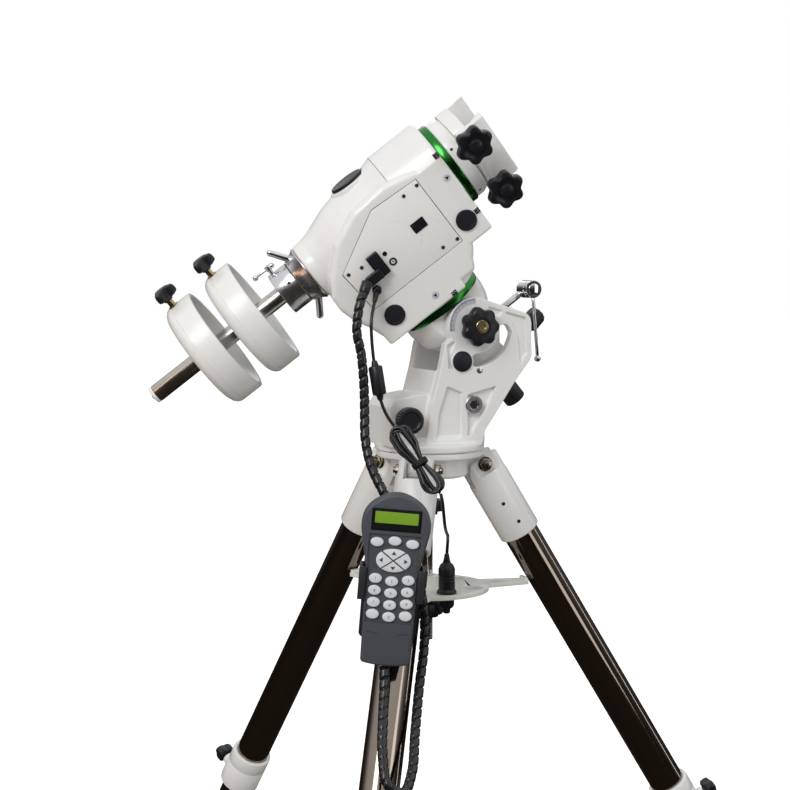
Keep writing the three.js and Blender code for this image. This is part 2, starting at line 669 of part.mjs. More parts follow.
// Moving jaw: a plate beside the base that the two knobs' screws draw in, hooked over at its top.
function saddleJaw() {
  const inner = CLAMP_SIDE - GAP;
  const section = polygon([
    [inner, 151], [inner, 178], [inner + 9, 194.5], [-46, 194.5], [-49, 190], [-49, 154], [-46, 151],
  ]);
  const jaw = slab(section, 10 - SADDLE_HALF_LENGTH, SADDLE_HALF_LENGTH - 10);
  jaw.rotateZ(-Math.PI / 2).scale(1, -1, 1);
  return cut(jaw, ...saddleScrewHoles());
}

function saddleKnob(z) {
  const knob = lobedKnob({
    radius: 26.5, lobes: 6, depth: 5.5, z0: 76, z1: 92, hub: 13, stem: 4, tip: 20, steps: 4,
  });
  const dish = join(
    turned([[0, 90], [18, 92.5], [18, 93], [0, 93]], 30),
  );
  const button = turned([[0, 85], [10, 85], [9, 93], [5, 96.5], [0, 97.5]], 16);
  return toY(join(cut(knob, dish), button)).scale(1, -1, 1).translate(SADDLE_SCREW_X, 0, z);
}

function clutchRing() {
  const body = toX(turned([
    [AXLE_RADIUS + 0.7, AXLE_END + GAP], [33, AXLE_END + GAP], [34, -132], [37, -124], [41, -118],
    [41, SHAFT_END - 0.5], [AXLE_RADIUS + 0.7, SHAFT_END - 0.5], [AXLE_RADIUS + 0.7, AXLE_END + GAP],
  ], 24));
  const lever = (side) => {
    const rod = join(
      bar(4.8, 0, 30, 12),
      new THREE.SphereGeometry(4.8, 12, 6).rotateX(Math.PI / 2).translate(0, 0, 30),
    );
    return rod.rotateY(-34 * DEGREE).translate(-126, 0, 31).scale(1, 1, side);
  };
  return join(body, lever(1), lever(-1));
}

// The shaft end's own frame: the RA body's axes.
const HOLDER_RADIUS = 31.3;
const HOLDER_END = -166;
const LOCK_X = -158;

function shaftHolder() {
  const body = toX(turned([
    [0, HOLDER_END], [30.3, HOLDER_END], [HOLDER_RADIUS, HOLDER_END + 1],
    [HOLDER_RADIUS, AXLE_END - GAP], [0, AXLE_END - GAP],
  ], 24));
  const bore = toX(bar(SHAFT_RADIUS + 0.4, HOLDER_END - 1, AXLE_END + 1, 32));
  const lockHole = bar(3.4, 0, 40, 16).translate(LOCK_X, 0, 0);
  return cut(body, bore, lockHole);
}

// Small T-bar screw that grips the counterweight shaft.
function shaftLock() {
  const stem = bar(3, SHAFT_RADIUS + 0.6, 41, 16).translate(LOCK_X, 0, 0);
  const head = bar(4.6, 37.5, 44.5, 16).translate(LOCK_X, 0, 0);
  const cross = toX(bar(1.6, -180, -152, 12)).translate(0, 0, 41);
  const balls = [-180, -152].map((x) => (
    new THREE.SphereGeometry(3.9, 10, 6).rotateX(Math.PI / 2).translate(x, 0, 41)
  ));
  return join(stem, head, cross, ...balls);
}

function counterweightShaft() {
  const shaft = toX(bar(SHAFT_RADIUS, -388, -110, 24));
  const cap = toX(turned([[0, -393], [11, -393], [12, -392], [12, -387], [0, -387]], 24));
  return join(shaft, cap);
}

// Dished disc: deep conical hollow on the upper face, rounded lower edge.
function counterweight(face) {
  const back = face - WEIGHT_THICKNESS;
  const bore = SHAFT_RADIUS + 0.4;
  const body = toX(turned([
    [bore, back], [66, back], [75, back + 3], [80, back + 9], [WEIGHT_RADIUS, back + 14],
    [WEIGHT_RADIUS, face - 2], [WEIGHT_RADIUS - 1.5, face], [WEIGHT_RADIUS - 6, face],
    [WEIGHT_RADIUS - 9, face - 4], [50, face - 17], [24, face - 20], [22, face - 15], [bore, face - 15],
    [bore, back],
  ], 24));
  const stemHole = bar(5.3, 58, 90, 16).translate(face - WEIGHT_THICKNESS / 2 - 3, 0, 0);
  return cut(body, stemHole);
}

function weightKnob(face) {
  const stem = bar(4.7, 60, 96, 16);
  const grip = slab(lobedOutline(18.5, 3, 9.5, 7), 94, 110, 3);
  return join(stem, grip).translate(face - WEIGHT_THICKNESS / 2 - 3, 0, 0);
}

// ------------------------------------------------------------------ hand controller

const HANDSET_AT = [-142, -223.5, 715];
const HANDSET_LEAN = 4.8; // top leans to the right, degrees
const HANDSET_FACING = -21; // turned towards the user, degrees
const HANDSET_LENGTH = 216;
const HANDSET_THICKNESS = 33;

// Outline seen from the front: round head that narrows to the grip, foot slightly bowed.
function handsetOutline(inset = 0) {
  const shape = new THREE.Shape();
  const [head, waist, foot] = [45 - inset, 33 - inset, 31 - inset];
  const [top, bottom] = [HANDSET_LENGTH / 2 - inset, -HANDSET_LENGTH / 2 + inset];
  shape.moveTo(-foot, bottom + 4);
  shape.quadraticCurveTo(0, bottom - 3, foot, bottom + 4);
  shape.lineTo(waist, 10);
  shape.quadraticCurveTo(36 - inset, 30, head - 3, 58);
  shape.quadraticCurveTo(head + 2, 82, 30 - inset, top - 12);
  shape.quadraticCurveTo(14, top, 0, top);
  shape.quadraticCurveTo(-14, top, -30 + inset, top - 12);
  shape.quadraticCurveTo(-head - 2, 82, -head + 3, 58);
  shape.quadraticCurveTo(-36 + inset, 30, -waist, 10);
  return shape;
}

const HANDSET_FACE = -HANDSET_THICKNESS / 2;
const KEY_WELL = 5; // depth of the display and key wells
const KEY_TRAVEL = 0.8;
const DISPLAY_Z = 78;
const MENU_KEYS = [[-22, 48], [0, 50.5], [22, 48]];
const ARROW_CENTRE = [0, 26];
const NUMBER_ROWS = [2.5, -12.5, -27.5, -42.5];
const NUMBER_COLUMNS = [-20.5, 0, 20.5];

// Outline of the keypad's opening, drawn in by `inset`.
const keypadOutline = (inset) => polygon([
  [-29.5 + inset, -53 + inset], [29.5 - inset, -53 + inset], [30.5 - inset, 8],
  [32.5 - inset, 32], [32.5 - inset, 58 - inset], [-32.5 + inset, 58 - inset],
  [-32.5 + inset, 32], [-30.5 + inset, 8],
]);

const keyDome = (x, z, rx, rz, y0, y1) => {
  const dome = toY(bar(1, -y1, -y0, 9, 0.94)).scale(rx, -1, rz);
  return dome.translate(x, 0, z);
};

function handsetBody() {
  const shell = upright(handsetOutline(), HANDSET_FACE, -HANDSET_FACE, 3.5, 2, 4);
  const face = HANDSET_FACE;
  const well = (x0, x1, z0, z1) => box(x0, x1, face - 1, face + KEY_WELL, z0, z1);
  const wells = [
    well(-31, 31, DISPLAY_Z - 16, DISPLAY_Z + 12),
    upright(keypadOutline(0), face - 1, face + KEY_WELL),
  ];
  return cut(shell, ...wells);
}

function ellipse(x, z, rx, rz) {
  const shape = new THREE.Shape();
  shape.absellipse(x, z, rx, rz, 0, 2 * Math.PI);
  return shape;
}

// One silicone mat: a thin backing sheet that carries every key top.
function keypad() {
  const floor = HANDSET_FACE + KEY_WELL - KEY_TRAVEL;
  const sheet = upright(keypadOutline(0.4), floor - 1.6, floor - GAP);
  const tops = MENU_KEYS.map(([x, z]) => keyDome(x, z, 8, 6, floor - 6, floor - 1));
  const pad = upright(ellipse(0, ARROW_CENTRE[1], 21.5, 14.5), floor - 6, floor - 1.4);
  const crossCuts = [1, -1].map((side) => (
    box(-30, 30, floor - 8, floor - 1.6, -0.9, 0.9)
      .rotateY(side * 36 * DEGREE).translate(0, 0, ARROW_CENTRE[1])
  ));
  for (const z of NUMBER_ROWS) {
    for (const x of NUMBER_COLUMNS) {
      const drop = x === 0 ? -2.5 : 0;
      tops.push(keyDome(x, z + drop, 8, 6, floor - 6, floor - 1));
    }
  }
  return join(sheet, cut(pad, ...crossCuts), ...tops);
}

// Cradle behind the controller, seen in the controller's frame: back plate and two side clips.
function holderCradle() {
  const back = -HANDSET_FACE + GAP;
  const plate = slab(roundedRectangle(72, 120, 6, 0, -20), 0, 4).rotateX(Math.PI / 2);
  plate.translate(0, back + 4, 0);
  const clips = [-1, 1].map((side) => {
    const inner = 37.2;
    const cheek = box(inner, inner + 4, HANDSET_FACE - 3, back + 4, -25, 16);
    const lip = box(inner - 5, inner + 4, HANDSET_FACE - 3, HANDSET_FACE - GAP, -25, 16);
    const web = box(30, inner + 4, back, back + 4, -25, 16);
    return join(cheek, lip, web).scale(side, 1, 1);
  });
  return join(plate, ...clips);
}

// A frame's geometry carried into the mount's own frame.
function inMount(geometry, frame) {
  mount.updateMatrixWorld(true);
  const toMount = mount.matrixWorld.clone().invert().multiply(frame.matrixWorld);
  return geometry.applyMatrix4(toMount);
}

const STRAP_AT = -155; // strap round the front leg, along the leg from its pin

function handsetHolder(handsetFrame, legFrame, spoke) {
  const cradle = inMount(holderCradle(), handsetFrame);
  const strap = ring(LEG_TUBE_RADIUS + GAP, LEG_TUBE_RADIUS + 4, STRAP_AT - 10, STRAP_AT + 10);
  const strut = inMount(box(174, 247, -8, 8, 693, 713), spoke);
  const tubeRoom = bar(LEG_TUBE_RADIUS + GAP, STRAP_AT - 50, STRAP_AT + 50, 28);
  return join(cradle, inMount(strap, legFrame), cut(strut, inMount(tubeRoom, legFrame)));
}

// ------------------------------------------------------------------ cords
// Routes are in the mount's own frame before the footprint shift.

const HANDSET_CORD_RADIUS = 6.5;
const POWER_CORD_RADIUS = 2.2;

// From the plug under the panel, down past the fork, behind the controller, down beside the
// front leg, round it in a low loop and up into the controller's foot.
const HANDSET_ROUTE = [
  [-124, -72, 1069], [-130, -75, 1056], [-134, -77, 1039], [-136, -79, 1017], [-132, -82, 994],
  [-130, -85, 971], [-129, -88, 938], [-130, -92, 909], [-132, -99, 881], [-131, -112, 852],
  [-128, -127, 832], [-122, -142, 812], [-113, -156, 788], [-101, -167, 755], [-90, -174, 717],
  [-83, -177, 682], [-80, -180, 647], [-84, -188, 613], [-98, -207, 570], [-118, -243, 522],
  [-139, -285, 486], [-162, -313, 472], [-181, -313, 484], [-178, -287, 514], [-165, -254, 548],
  [-155, -232, 580], [-151, -221.5, 604],
];
const POWER_ROUTE_UPPER = [
  [-107, -67.5, 1057], [-111, -72, 1046], [-115, -77, 1031], [-115, -79, 1007], [-113, -82, 978],
  [-110, -86, 954], [-107, -88, 932], [-102, -91, 915], [-96, -95, 902], [-90.4, -97.6, 893.8],
];
const HANK_ENDS = [[-90, -98, 893], [-44, -146, 808]];
const POWER_ROUTE_LOWER = [
  [-43.6, -146.4, 807.2], [-42, -149, 795], [-39, -146, 778], [-31, -131, 761], [-19, -108, 748],
  [-8, -86, 740], [-1.8, -71.5, 730], [0, -64.5, 712.2],
];
const PLUG_AT = [0, -64];

// Bundle of folded cord: flat outline with round ends between the two cord ends.
function powerHank() {
  const [from, to] = HANK_ENDS.map((p) => new THREE.Vector3(...p));
  const along = to.clone().sub(from);
  const length = along.length();
  along.normalize();
  const facing = new THREE.Vector3(-0.36, -0.93, 0);
  const across = along.clone().cross(facing).normalize();
  const out = across.clone().cross(along).normalize();
  const outline = stadium(length - 1, 34);
  const middle = from.clone().add(to).multiplyScalar(0.5);
  const frame = new THREE.Matrix4().makeBasis(along, across, out.negate());
  frame.setPosition(middle);
  const made = slab(outline, -10, 10, 4, 2);
  if (frame.determinant() < 0) frame.scale(new THREE.Vector3(1, 1, -1));
  return made.applyMatrix4(frame);
}

function powerPlug() {
  return turned([
    [0, 628], [4, 628], [5, 630], [5, 634], [9, 637], [10.5, 640], [10.5, 656.4], [13.8, 656.4],
    [13.8, 659], [11.5, 662], [11.5, 690], [9, 696], [4.4, 700], [3, 711], [0, 711],
  ], 14).translate(...PLUG_AT, 0);
}

// Round bar between two points of the mount's frame.
function barBetween(from, to, radius, endRadius, segments = 20) {
  const [a, b] = [new THREE.Vector3(...from), new THREE.Vector3(...to)];
  const rod = bar(radius, 0, a.distanceTo(b), segments, endRadius);
  const turn = new THREE.Quaternion().setFromUnitVectors(
    new THREE.Vector3(0, 0, 1), b.clone().sub(a).normalize(),
  );
  return rod.applyQuaternion(turn).translate(...from);
}

// Flat plug in the panel's port block, with a sleeve that takes the wrapped cord.
function handsetCordPlug(raFrame) {
  const face = PANEL_FACE - GAP;
  const block = box(-45, -27, face - 9, face, -51, -17);
  const flat = box(-62, -38, face - 17, face - 9 + 0.5, -50, -36);
  const sleeve = barBetween([-117.3, -68.7, 1083.6], [-123.8, -71.9, 1069.4], 7.5, 6.8);
  return join(inMount(join(block, flat), raFrame), sleeve);
}

function powerCordConnector(raFrame) {
  const face = PANEL_FACE - GAP;
  const nut = toY(bar(6.5, -face, -face + 7, 20)).scale(1, -1, 1).translate(-58, 0, -60);
  const barrel = toY(bar(4.5, -face + 6, -face + 16, 20)).scale(1, -1, 1).translate(-58, 0, -60);
  const relief = barBetween([-102.8, -62.8, 1068.4], [-106.8, -67.3, 1057.5], 4.4, 3);
  return join(inMount(join(nut, barrel), raFrame), relief);
}

// ------------------------------------------------------------------ assembly

piece(mount, 'tripod_head', tripodHead(), WHITE);
piece(mount, 'azimuth_peg', bar(PEG_RADIUS, 842, 908, 16).translate(PEG_X, 0, 0), STEEL);
centralRod();
spreaderTray();
const legFrames = LEG_TURNS.map((turn, index) => leg(index + 1, turn));

const azimuthBody = group(mount);
piece(azimuthBody, 'fork_base', forkBase(), WHITE);
piece(azimuthBody, 'azimuth_knob_1', azimuthScrew(-1), BLACK);
piece(azimuthBody, 'azimuth_knob_2', azimuthScrew(1), BLACK);
piece(azimuthBody, 'altitude_lock_knob_1', altitudeLock(-1), BLACK);
piece(azimuthBody, 'altitude_lock_knob_2', altitudeLock(1), BLACK);
piece(azimuthBody, 'altitude_screw', altitudeScrew(), CHROME);
piece(azimuthBody, 'altitude_handle', altitudeHandle(), CHROME);

const altitudeBody = group(mount, PIVOT_X, 0, PIVOT_Z);
altitudeBody.rotation.y = -(90 - LATITUDE) * DEGREE;
piece(altitudeBody, 'polar_housing', polarHousing(), WHITE);
piece(altitudeBody, 'ra_clutch_knob', raClutchKnob(), BLACK);
const raRing = ring(30.6, RING_RADIUS, RING_FOOT, RING_FOOT + 11, 36);
piece(altitudeBody, 'ra_ring', raRing, GREEN);
const eyepiece = join(bar(13.4, -112, -86, 24), bar(15.5, -141, -105, 32));
piece(altitudeBody, 'polar_scope', eyepiece, BLACK);

const raBody = group(altitudeBody, 0, 0, AXES_CROSSING);
raBody.rotation.z = HOUR_TURN * DEGREE;
piece(raBody, 'dec_housing', decHousing(), WHITE);
piece(raBody, 'control_panel', controlPanel(), WHITE);
piece(raBody, 'power_switch', powerSwitch(), BLACK);
piece(raBody, 'polar_cap', polarCap(), BLACK);

const decBody = group(raBody);
decBody.rotation.x = SADDLE_TURN * DEGREE;
const decRing = toX(ring(AXLE_RADIUS + 0.6, RING_RADIUS, 118, 129, 36));
piece(decBody, 'dec_ring', decRing, GREEN);
piece(decBody, 'dec_shaft', decShaft(), WHITE);
piece(decBody, 'saddle_body', saddleBody(), WHITE);
piece(decBody, 'saddle_jaw', saddleJaw(), WHITE);
SADDLE_SCREW_Z.forEach((z, index) => piece(decBody, `saddle_knob_${index + 1}`, saddleKnob(z), BLACK));

// The shaft end of the declination body, whose levers and knobs stand along the polar axis.
const shaftBody = group(raBody);
piece(shaftBody, 'dec_clutch_ring', clutchRing(), SATIN);
piece(shaftBody, 'shaft_holder', shaftHolder(), SATIN);
piece(shaftBody, 'shaft_lock', shaftLock(), CHROME);
piece(shaftBody, 'counterweight_shaft', counterweightShaft(), STEEL);
WEIGHT_FACES.forEach((face, index) => {
  piece(shaftBody, `counterweight_${index + 1}`, counterweight(face), WHITE);
  piece(shaftBody, `weight_knob_${index + 1}`, weightKnob(face), BLACK);
});

const handsetTurn = group(mount, ...HANDSET_AT);
handsetTurn.rotation.z = HANDSET_FACING * DEGREE;
const handsetFrame = group(handsetTurn);
handsetFrame.rotation.y = HANDSET_LEAN * DEGREE;
piece(handsetFrame, 'handset_body', handsetBody(), GREY);
piece(handsetFrame, 'handset_keypad', keypad(), KEY);
piece(mount, 'handset_holder', handsetHolder(handsetFrame, ...legFrames[0]), BLACK);

piece(mount, 'handset_cord_plug', handsetCordPlug(raBody), BLACK);
piece(mount, 'handset_cord', cordTube(HANDSET_ROUTE, HANDSET_CORD_RADIUS, 8, 44), RUBBER);
piece(mount, 'power_cord_connector', powerCordConnector(raBody), BLACK);
piece(mount, 'power_cord_upper', cordTube(POWER_ROUTE_UPPER, POWER_CORD_RADIUS, 8, 18), RUBBER);
piece(mount, 'power_hank', powerHank(), RUBBER);
piece(mount, 'power_cord_lower', cordTube(POWER_ROUTE_LOWER, POWER_CORD_RADIUS, 8, 15), RUBBER);
piece(mount, 'power_plug', powerPlug(), BLACK);

export default mount;
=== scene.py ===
"""Looks of a German equatorial telescope mount on its tripod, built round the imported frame.

Lengths here are millimetres. MOUNT, and the frames built on it, carry them into the frame shared with
the CAD, which is in metres; only the lights and the floor are placed in metres directly.
"""

import json
import math

import bmesh
import bpy
from mathutils import Matrix, Vector
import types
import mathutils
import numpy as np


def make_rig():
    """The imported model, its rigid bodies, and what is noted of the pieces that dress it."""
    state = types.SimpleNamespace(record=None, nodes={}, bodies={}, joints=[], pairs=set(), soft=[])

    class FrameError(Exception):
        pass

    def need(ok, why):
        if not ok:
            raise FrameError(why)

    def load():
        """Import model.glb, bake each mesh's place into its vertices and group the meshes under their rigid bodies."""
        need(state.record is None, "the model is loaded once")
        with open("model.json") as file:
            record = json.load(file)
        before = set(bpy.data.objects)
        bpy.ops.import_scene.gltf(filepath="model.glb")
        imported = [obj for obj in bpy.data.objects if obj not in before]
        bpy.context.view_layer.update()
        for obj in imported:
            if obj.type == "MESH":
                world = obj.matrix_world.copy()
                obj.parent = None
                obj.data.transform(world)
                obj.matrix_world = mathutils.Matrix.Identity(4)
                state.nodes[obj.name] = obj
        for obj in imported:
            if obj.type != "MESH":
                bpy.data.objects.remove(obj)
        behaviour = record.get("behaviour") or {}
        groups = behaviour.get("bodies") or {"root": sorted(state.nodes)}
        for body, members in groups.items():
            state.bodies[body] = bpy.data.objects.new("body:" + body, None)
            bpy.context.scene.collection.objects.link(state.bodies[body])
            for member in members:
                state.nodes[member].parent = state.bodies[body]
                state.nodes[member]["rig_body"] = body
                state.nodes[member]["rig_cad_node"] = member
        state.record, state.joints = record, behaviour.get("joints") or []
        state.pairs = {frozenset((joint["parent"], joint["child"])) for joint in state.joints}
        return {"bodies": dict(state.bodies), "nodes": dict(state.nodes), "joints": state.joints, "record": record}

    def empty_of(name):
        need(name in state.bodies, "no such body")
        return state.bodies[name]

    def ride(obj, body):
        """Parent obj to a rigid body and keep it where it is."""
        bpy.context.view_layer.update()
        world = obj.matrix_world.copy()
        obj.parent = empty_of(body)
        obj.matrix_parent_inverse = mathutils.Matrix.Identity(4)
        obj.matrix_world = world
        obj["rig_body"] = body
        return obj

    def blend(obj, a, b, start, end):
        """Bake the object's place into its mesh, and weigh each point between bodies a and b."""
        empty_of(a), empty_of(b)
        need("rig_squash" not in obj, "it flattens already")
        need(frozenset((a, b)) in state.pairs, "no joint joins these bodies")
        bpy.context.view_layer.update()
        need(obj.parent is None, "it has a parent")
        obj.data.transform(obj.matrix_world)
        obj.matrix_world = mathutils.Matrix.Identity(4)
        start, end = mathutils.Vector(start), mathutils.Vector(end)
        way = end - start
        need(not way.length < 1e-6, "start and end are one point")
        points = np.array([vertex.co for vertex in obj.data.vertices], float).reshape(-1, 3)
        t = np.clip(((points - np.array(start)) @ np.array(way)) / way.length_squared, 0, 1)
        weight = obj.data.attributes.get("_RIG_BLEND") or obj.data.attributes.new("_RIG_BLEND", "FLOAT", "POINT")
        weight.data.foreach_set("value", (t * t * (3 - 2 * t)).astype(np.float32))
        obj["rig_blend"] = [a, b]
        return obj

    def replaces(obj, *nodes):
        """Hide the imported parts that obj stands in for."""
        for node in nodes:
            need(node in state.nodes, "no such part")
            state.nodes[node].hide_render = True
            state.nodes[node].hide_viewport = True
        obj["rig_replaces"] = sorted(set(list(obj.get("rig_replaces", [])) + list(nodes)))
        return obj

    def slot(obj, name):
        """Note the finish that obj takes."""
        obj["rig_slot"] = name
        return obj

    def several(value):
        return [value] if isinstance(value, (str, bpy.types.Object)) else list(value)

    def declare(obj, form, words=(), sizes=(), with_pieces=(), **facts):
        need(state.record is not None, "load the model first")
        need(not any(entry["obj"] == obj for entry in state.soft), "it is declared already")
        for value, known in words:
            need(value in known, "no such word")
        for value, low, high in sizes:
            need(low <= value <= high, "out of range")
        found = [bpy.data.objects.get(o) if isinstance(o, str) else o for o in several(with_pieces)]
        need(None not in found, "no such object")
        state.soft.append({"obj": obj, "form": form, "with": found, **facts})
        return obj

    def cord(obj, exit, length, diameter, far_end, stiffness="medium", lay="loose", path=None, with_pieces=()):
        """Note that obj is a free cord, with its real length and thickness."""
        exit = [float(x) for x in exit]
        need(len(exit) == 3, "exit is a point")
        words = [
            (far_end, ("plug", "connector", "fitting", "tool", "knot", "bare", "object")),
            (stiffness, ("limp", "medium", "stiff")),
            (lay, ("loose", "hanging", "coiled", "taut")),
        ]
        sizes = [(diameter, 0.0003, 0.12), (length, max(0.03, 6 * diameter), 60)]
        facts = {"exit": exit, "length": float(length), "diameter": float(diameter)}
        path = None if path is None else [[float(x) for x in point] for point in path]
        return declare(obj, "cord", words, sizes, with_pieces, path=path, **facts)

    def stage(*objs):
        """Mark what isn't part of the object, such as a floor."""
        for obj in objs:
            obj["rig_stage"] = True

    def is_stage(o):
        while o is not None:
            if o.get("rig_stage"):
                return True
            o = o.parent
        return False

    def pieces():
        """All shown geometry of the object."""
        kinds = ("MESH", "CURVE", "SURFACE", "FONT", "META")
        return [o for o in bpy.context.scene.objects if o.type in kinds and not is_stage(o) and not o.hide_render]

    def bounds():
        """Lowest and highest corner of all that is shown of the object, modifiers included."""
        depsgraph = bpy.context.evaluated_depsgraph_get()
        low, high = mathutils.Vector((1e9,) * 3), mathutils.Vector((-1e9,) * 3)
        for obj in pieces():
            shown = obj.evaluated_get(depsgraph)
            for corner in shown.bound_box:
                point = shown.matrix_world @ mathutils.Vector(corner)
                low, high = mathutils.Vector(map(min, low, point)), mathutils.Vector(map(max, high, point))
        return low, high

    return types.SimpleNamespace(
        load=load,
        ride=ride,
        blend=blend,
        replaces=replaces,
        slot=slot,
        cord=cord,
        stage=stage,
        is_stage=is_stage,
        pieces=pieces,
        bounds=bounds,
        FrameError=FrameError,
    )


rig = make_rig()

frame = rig.load()
cad_low, cad_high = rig.bounds()
body_of_node = {
    node: body for body, nodes in frame["record"]["behaviour"]["bodies"].items() for node in nodes
}
slot_of_node = {s["node"]: s["material_slot"] for s in frame["record"]["subparts"]}

# ---- frames, as in the CAD


def turn(axis, degrees):
    return Matrix.Rotation(math.radians(degrees), 4, axis)


def shift(x, y, z):
    return Matrix.Translation((x, y, z))


AS_IS = Matrix.Identity(4)
FOOTPRINT_SHIFT = (-111.0, -20.4, 0.0)
LATITUDE = 50.0
PIVOT = (43.5, 0.0, 1023.0)
LEG_TURNS = (-124.0, -4.0, 116.0)
LEG_SPLAY = 31.5
LEG_PIN = (75.0, 0.0, 828.0)
LEG_LENGTH = LEG_PIN[2] / math.cos(math.radians(LEG_SPLAY))

PIVOT_XZ = (PIVOT[0], PIVOT[2])
AZIMUTH_SCREW = (-57.0, 0.0, 897.0)
ALTITUDE_HUB = (148.6, 0.0, 1073.5)
ALTITUDE_SCREW_LEAN = 54.0
RA_CLUTCH_HEIGHT = -83.0
RA_CLUTCH_TURN = 20.0

MOUNT = Matrix.Scale(0.001, 4) @ shift(*FOOTPRINT_SHIFT)
ALTITUDE = MOUNT @ shift(*PIVOT) @ turn("Y", LATITUDE - 90)
RA = ALTITUDE @ shift(0, 0, 190) @ turn("Z", -16.4)
DEC = RA @ turn("X", 15)
HANDSET = MOUNT @ shift(-142, -223.5, 715) @ turn("Z", -21) @ turn("Y", 4.8)


def leg_frame(number):
    return MOUNT @ turn("Z", LEG_TURNS[number - 1]) @ shift(*LEG_PIN) @ turn("Y", -LEG_SPLAY)


def facing(base, side=-1):
    """Frame whose +Z is the base's -Y (or +Y for side 1) and whose +Y is the base's +Z."""
    return base @ turn("X", 90) if side < 0 else base @ turn("Z", 180) @ turn("X", 90)


def axial(base):
    """Frame whose +Z is the base's +X."""
    return base @ turn("Y", 90)


# ---- camera, light and floor

CAMERA_TURN = 21.0  # camera west of the view along +Y, degrees
CAMERA_DISTANCE = 2190.0
CAMERA_SIDE = -48.3  # view axis, left of the azimuth axis
CAMERA_HEIGHT = 1092.0
CAMERA_PITCH = 4.35
LENS = 71.3


def linked(name, data):
    """A new object in the scene."""
    made = bpy.data.objects.new(name, data)
    bpy.context.scene.collection.objects.link(made)
    return made


def make_camera():
    data = bpy.data.cameras.new("camera")
    data.lens = LENS
    camera = linked("camera", data)
    around = MOUNT @ turn("Z", -CAMERA_TURN)
    camera.location = around @ Vector((CAMERA_SIDE, -CAMERA_DISTANCE, CAMERA_HEIGHT))
    pitch = math.radians(CAMERA_PITCH)
    level = (turn("Z", -CAMERA_TURN) @ Vector((0, 1, 0))).normalized()
    looking = level * math.cos(pitch) - Vector((0, 0, math.sin(pitch)))
    camera.rotation_mode = "QUATERNION"
    camera.rotation_quaternion = looking.to_track_quat("-Z", "Y")
    bpy.context.scene.camera = camera


def area_light(name, place, aim, size, power, tint=(1, 1, 1)):
    data = bpy.data.lights.new(name, "AREA")
    data.shape = "RECTANGLE"
    data.size, data.size_y = size
    data.energy = power
    data.color = tint
    light = linked(name, data)
    light.location = place
    light.rotation_mode = "QUATERNION"
    light.rotation_quaternion = (Vector(aim) - Vector(place)).to_track_quat("-Z", "Y")


def mixed(tree, ray, first, second):
    """The second shader for rays of the given kind, the first for all others."""
    path = tree.nodes.new("ShaderNodeLightPath")
    node = tree.nodes.new("ShaderNodeMixShader")
    tree.links.new(path.outputs[ray], node.inputs[0])
    tree.links.new(first, node.inputs[1])
    tree.links.new(second, node.inputs[2])
    return node.outputs[0]


def make_world():
    """White behind the object; a dim studio with soft boxes in mirror finishes; even fill elsewhere."""
    world = bpy.data.worlds.new("studio")
    bpy.context.scene.world = world
    world.use_nodes = True
    tree = world.node_tree
    nodes, links = tree.nodes, tree.links
    nodes.clear()
    out = nodes.new("ShaderNodeOutputWorld")
    coordinates = nodes.new("ShaderNodeTexCoord")
    height = nodes.new("ShaderNodeSeparateXYZ")
    links.new(coordinates.outputs["Generated"], height.inputs[0])
    ramp = nodes.new("ShaderNodeValToRGB")
    stops = [(0.0, 0.10), (0.42, 0.05), (0.53, 0.05), (0.60, 0.18), (0.70, 0.8), (1.0, 1.0)]
    tints = [(1, 0.97, 0.93), (1, 0.9, 0.8), (1, 0.92, 0.85), (1, 0.97, 0.94), (1, 1, 1), (1, 1, 1)]
    while len(ramp.color_ramp.elements) < len(stops):
        ramp.color_ramp.elements.new(0.5)
    for element, (place, value), tint in zip(ramp.color_ramp.elements, stops, tints):
        element.position = place
        element.color = (*[value * t for t in tint], 1)
    scaled = nodes.new("ShaderNodeMapRange")
    scaled.inputs["From Min"].default_value = -1
    links.new(height.outputs["Z"], scaled.inputs["Value"])
    links.new(scaled.outputs["Result"], ramp.inputs["Fac"])

    def background(strength, source=None):
        node = nodes.new("ShaderNodeBackground")
        node.inputs["Color"].default_value = (1, 1, 1, 1)
        node.inputs["Strength"].default_value = strength
        if source:
            links.new(source, node.inputs["Color"])
        return node.outputs[0]

    others = mixed(tree, "Is Glossy Ray", background(0.6), background(1.0, ramp.outputs[0]))
    links.new(mixed(tree, "Is Camera Ray", others, background(1.0)), out.inputs[0])


def make_stage():
    bpy.context.scene.view_settings.view_transform = "Standard"
    make_world()
    target = MOUNT @ Vector((0, 0, 1000))
    area_light("key", (-2.3, -1.9, 2.6), target, (1.3, 1.6), 48)
    area_light("fill", (2.0, -2.6, 1.2), target, (0.9, 2.0), 10, (1, 0.98, 0.96))
    area_light("rim", (0.9, 2.0, 2.4), target, (1.6, 0.8), 3)
    leg_target = MOUNT @ Vector((0, 0, 500))
    area_light("warm_strip", (-2.4, -0.5, 0.7), leg_target, (0.16, 2.0), 3.4, (1, 0.6, 0.34))
    area_light("cool_strip", (2.2, -0.3, 0.7), leg_target, (0.12, 2.0), 2.4, (0.92, 0.95, 1))
    bm = bmesh.new()
    bmesh.ops.create_grid(bm, x_segments=1, y_segments=1, size=30)
    floor = as_object(bm, "floor")
    floor.data.materials.append(FLOOR)
    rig.stage(floor)


# ---- materials


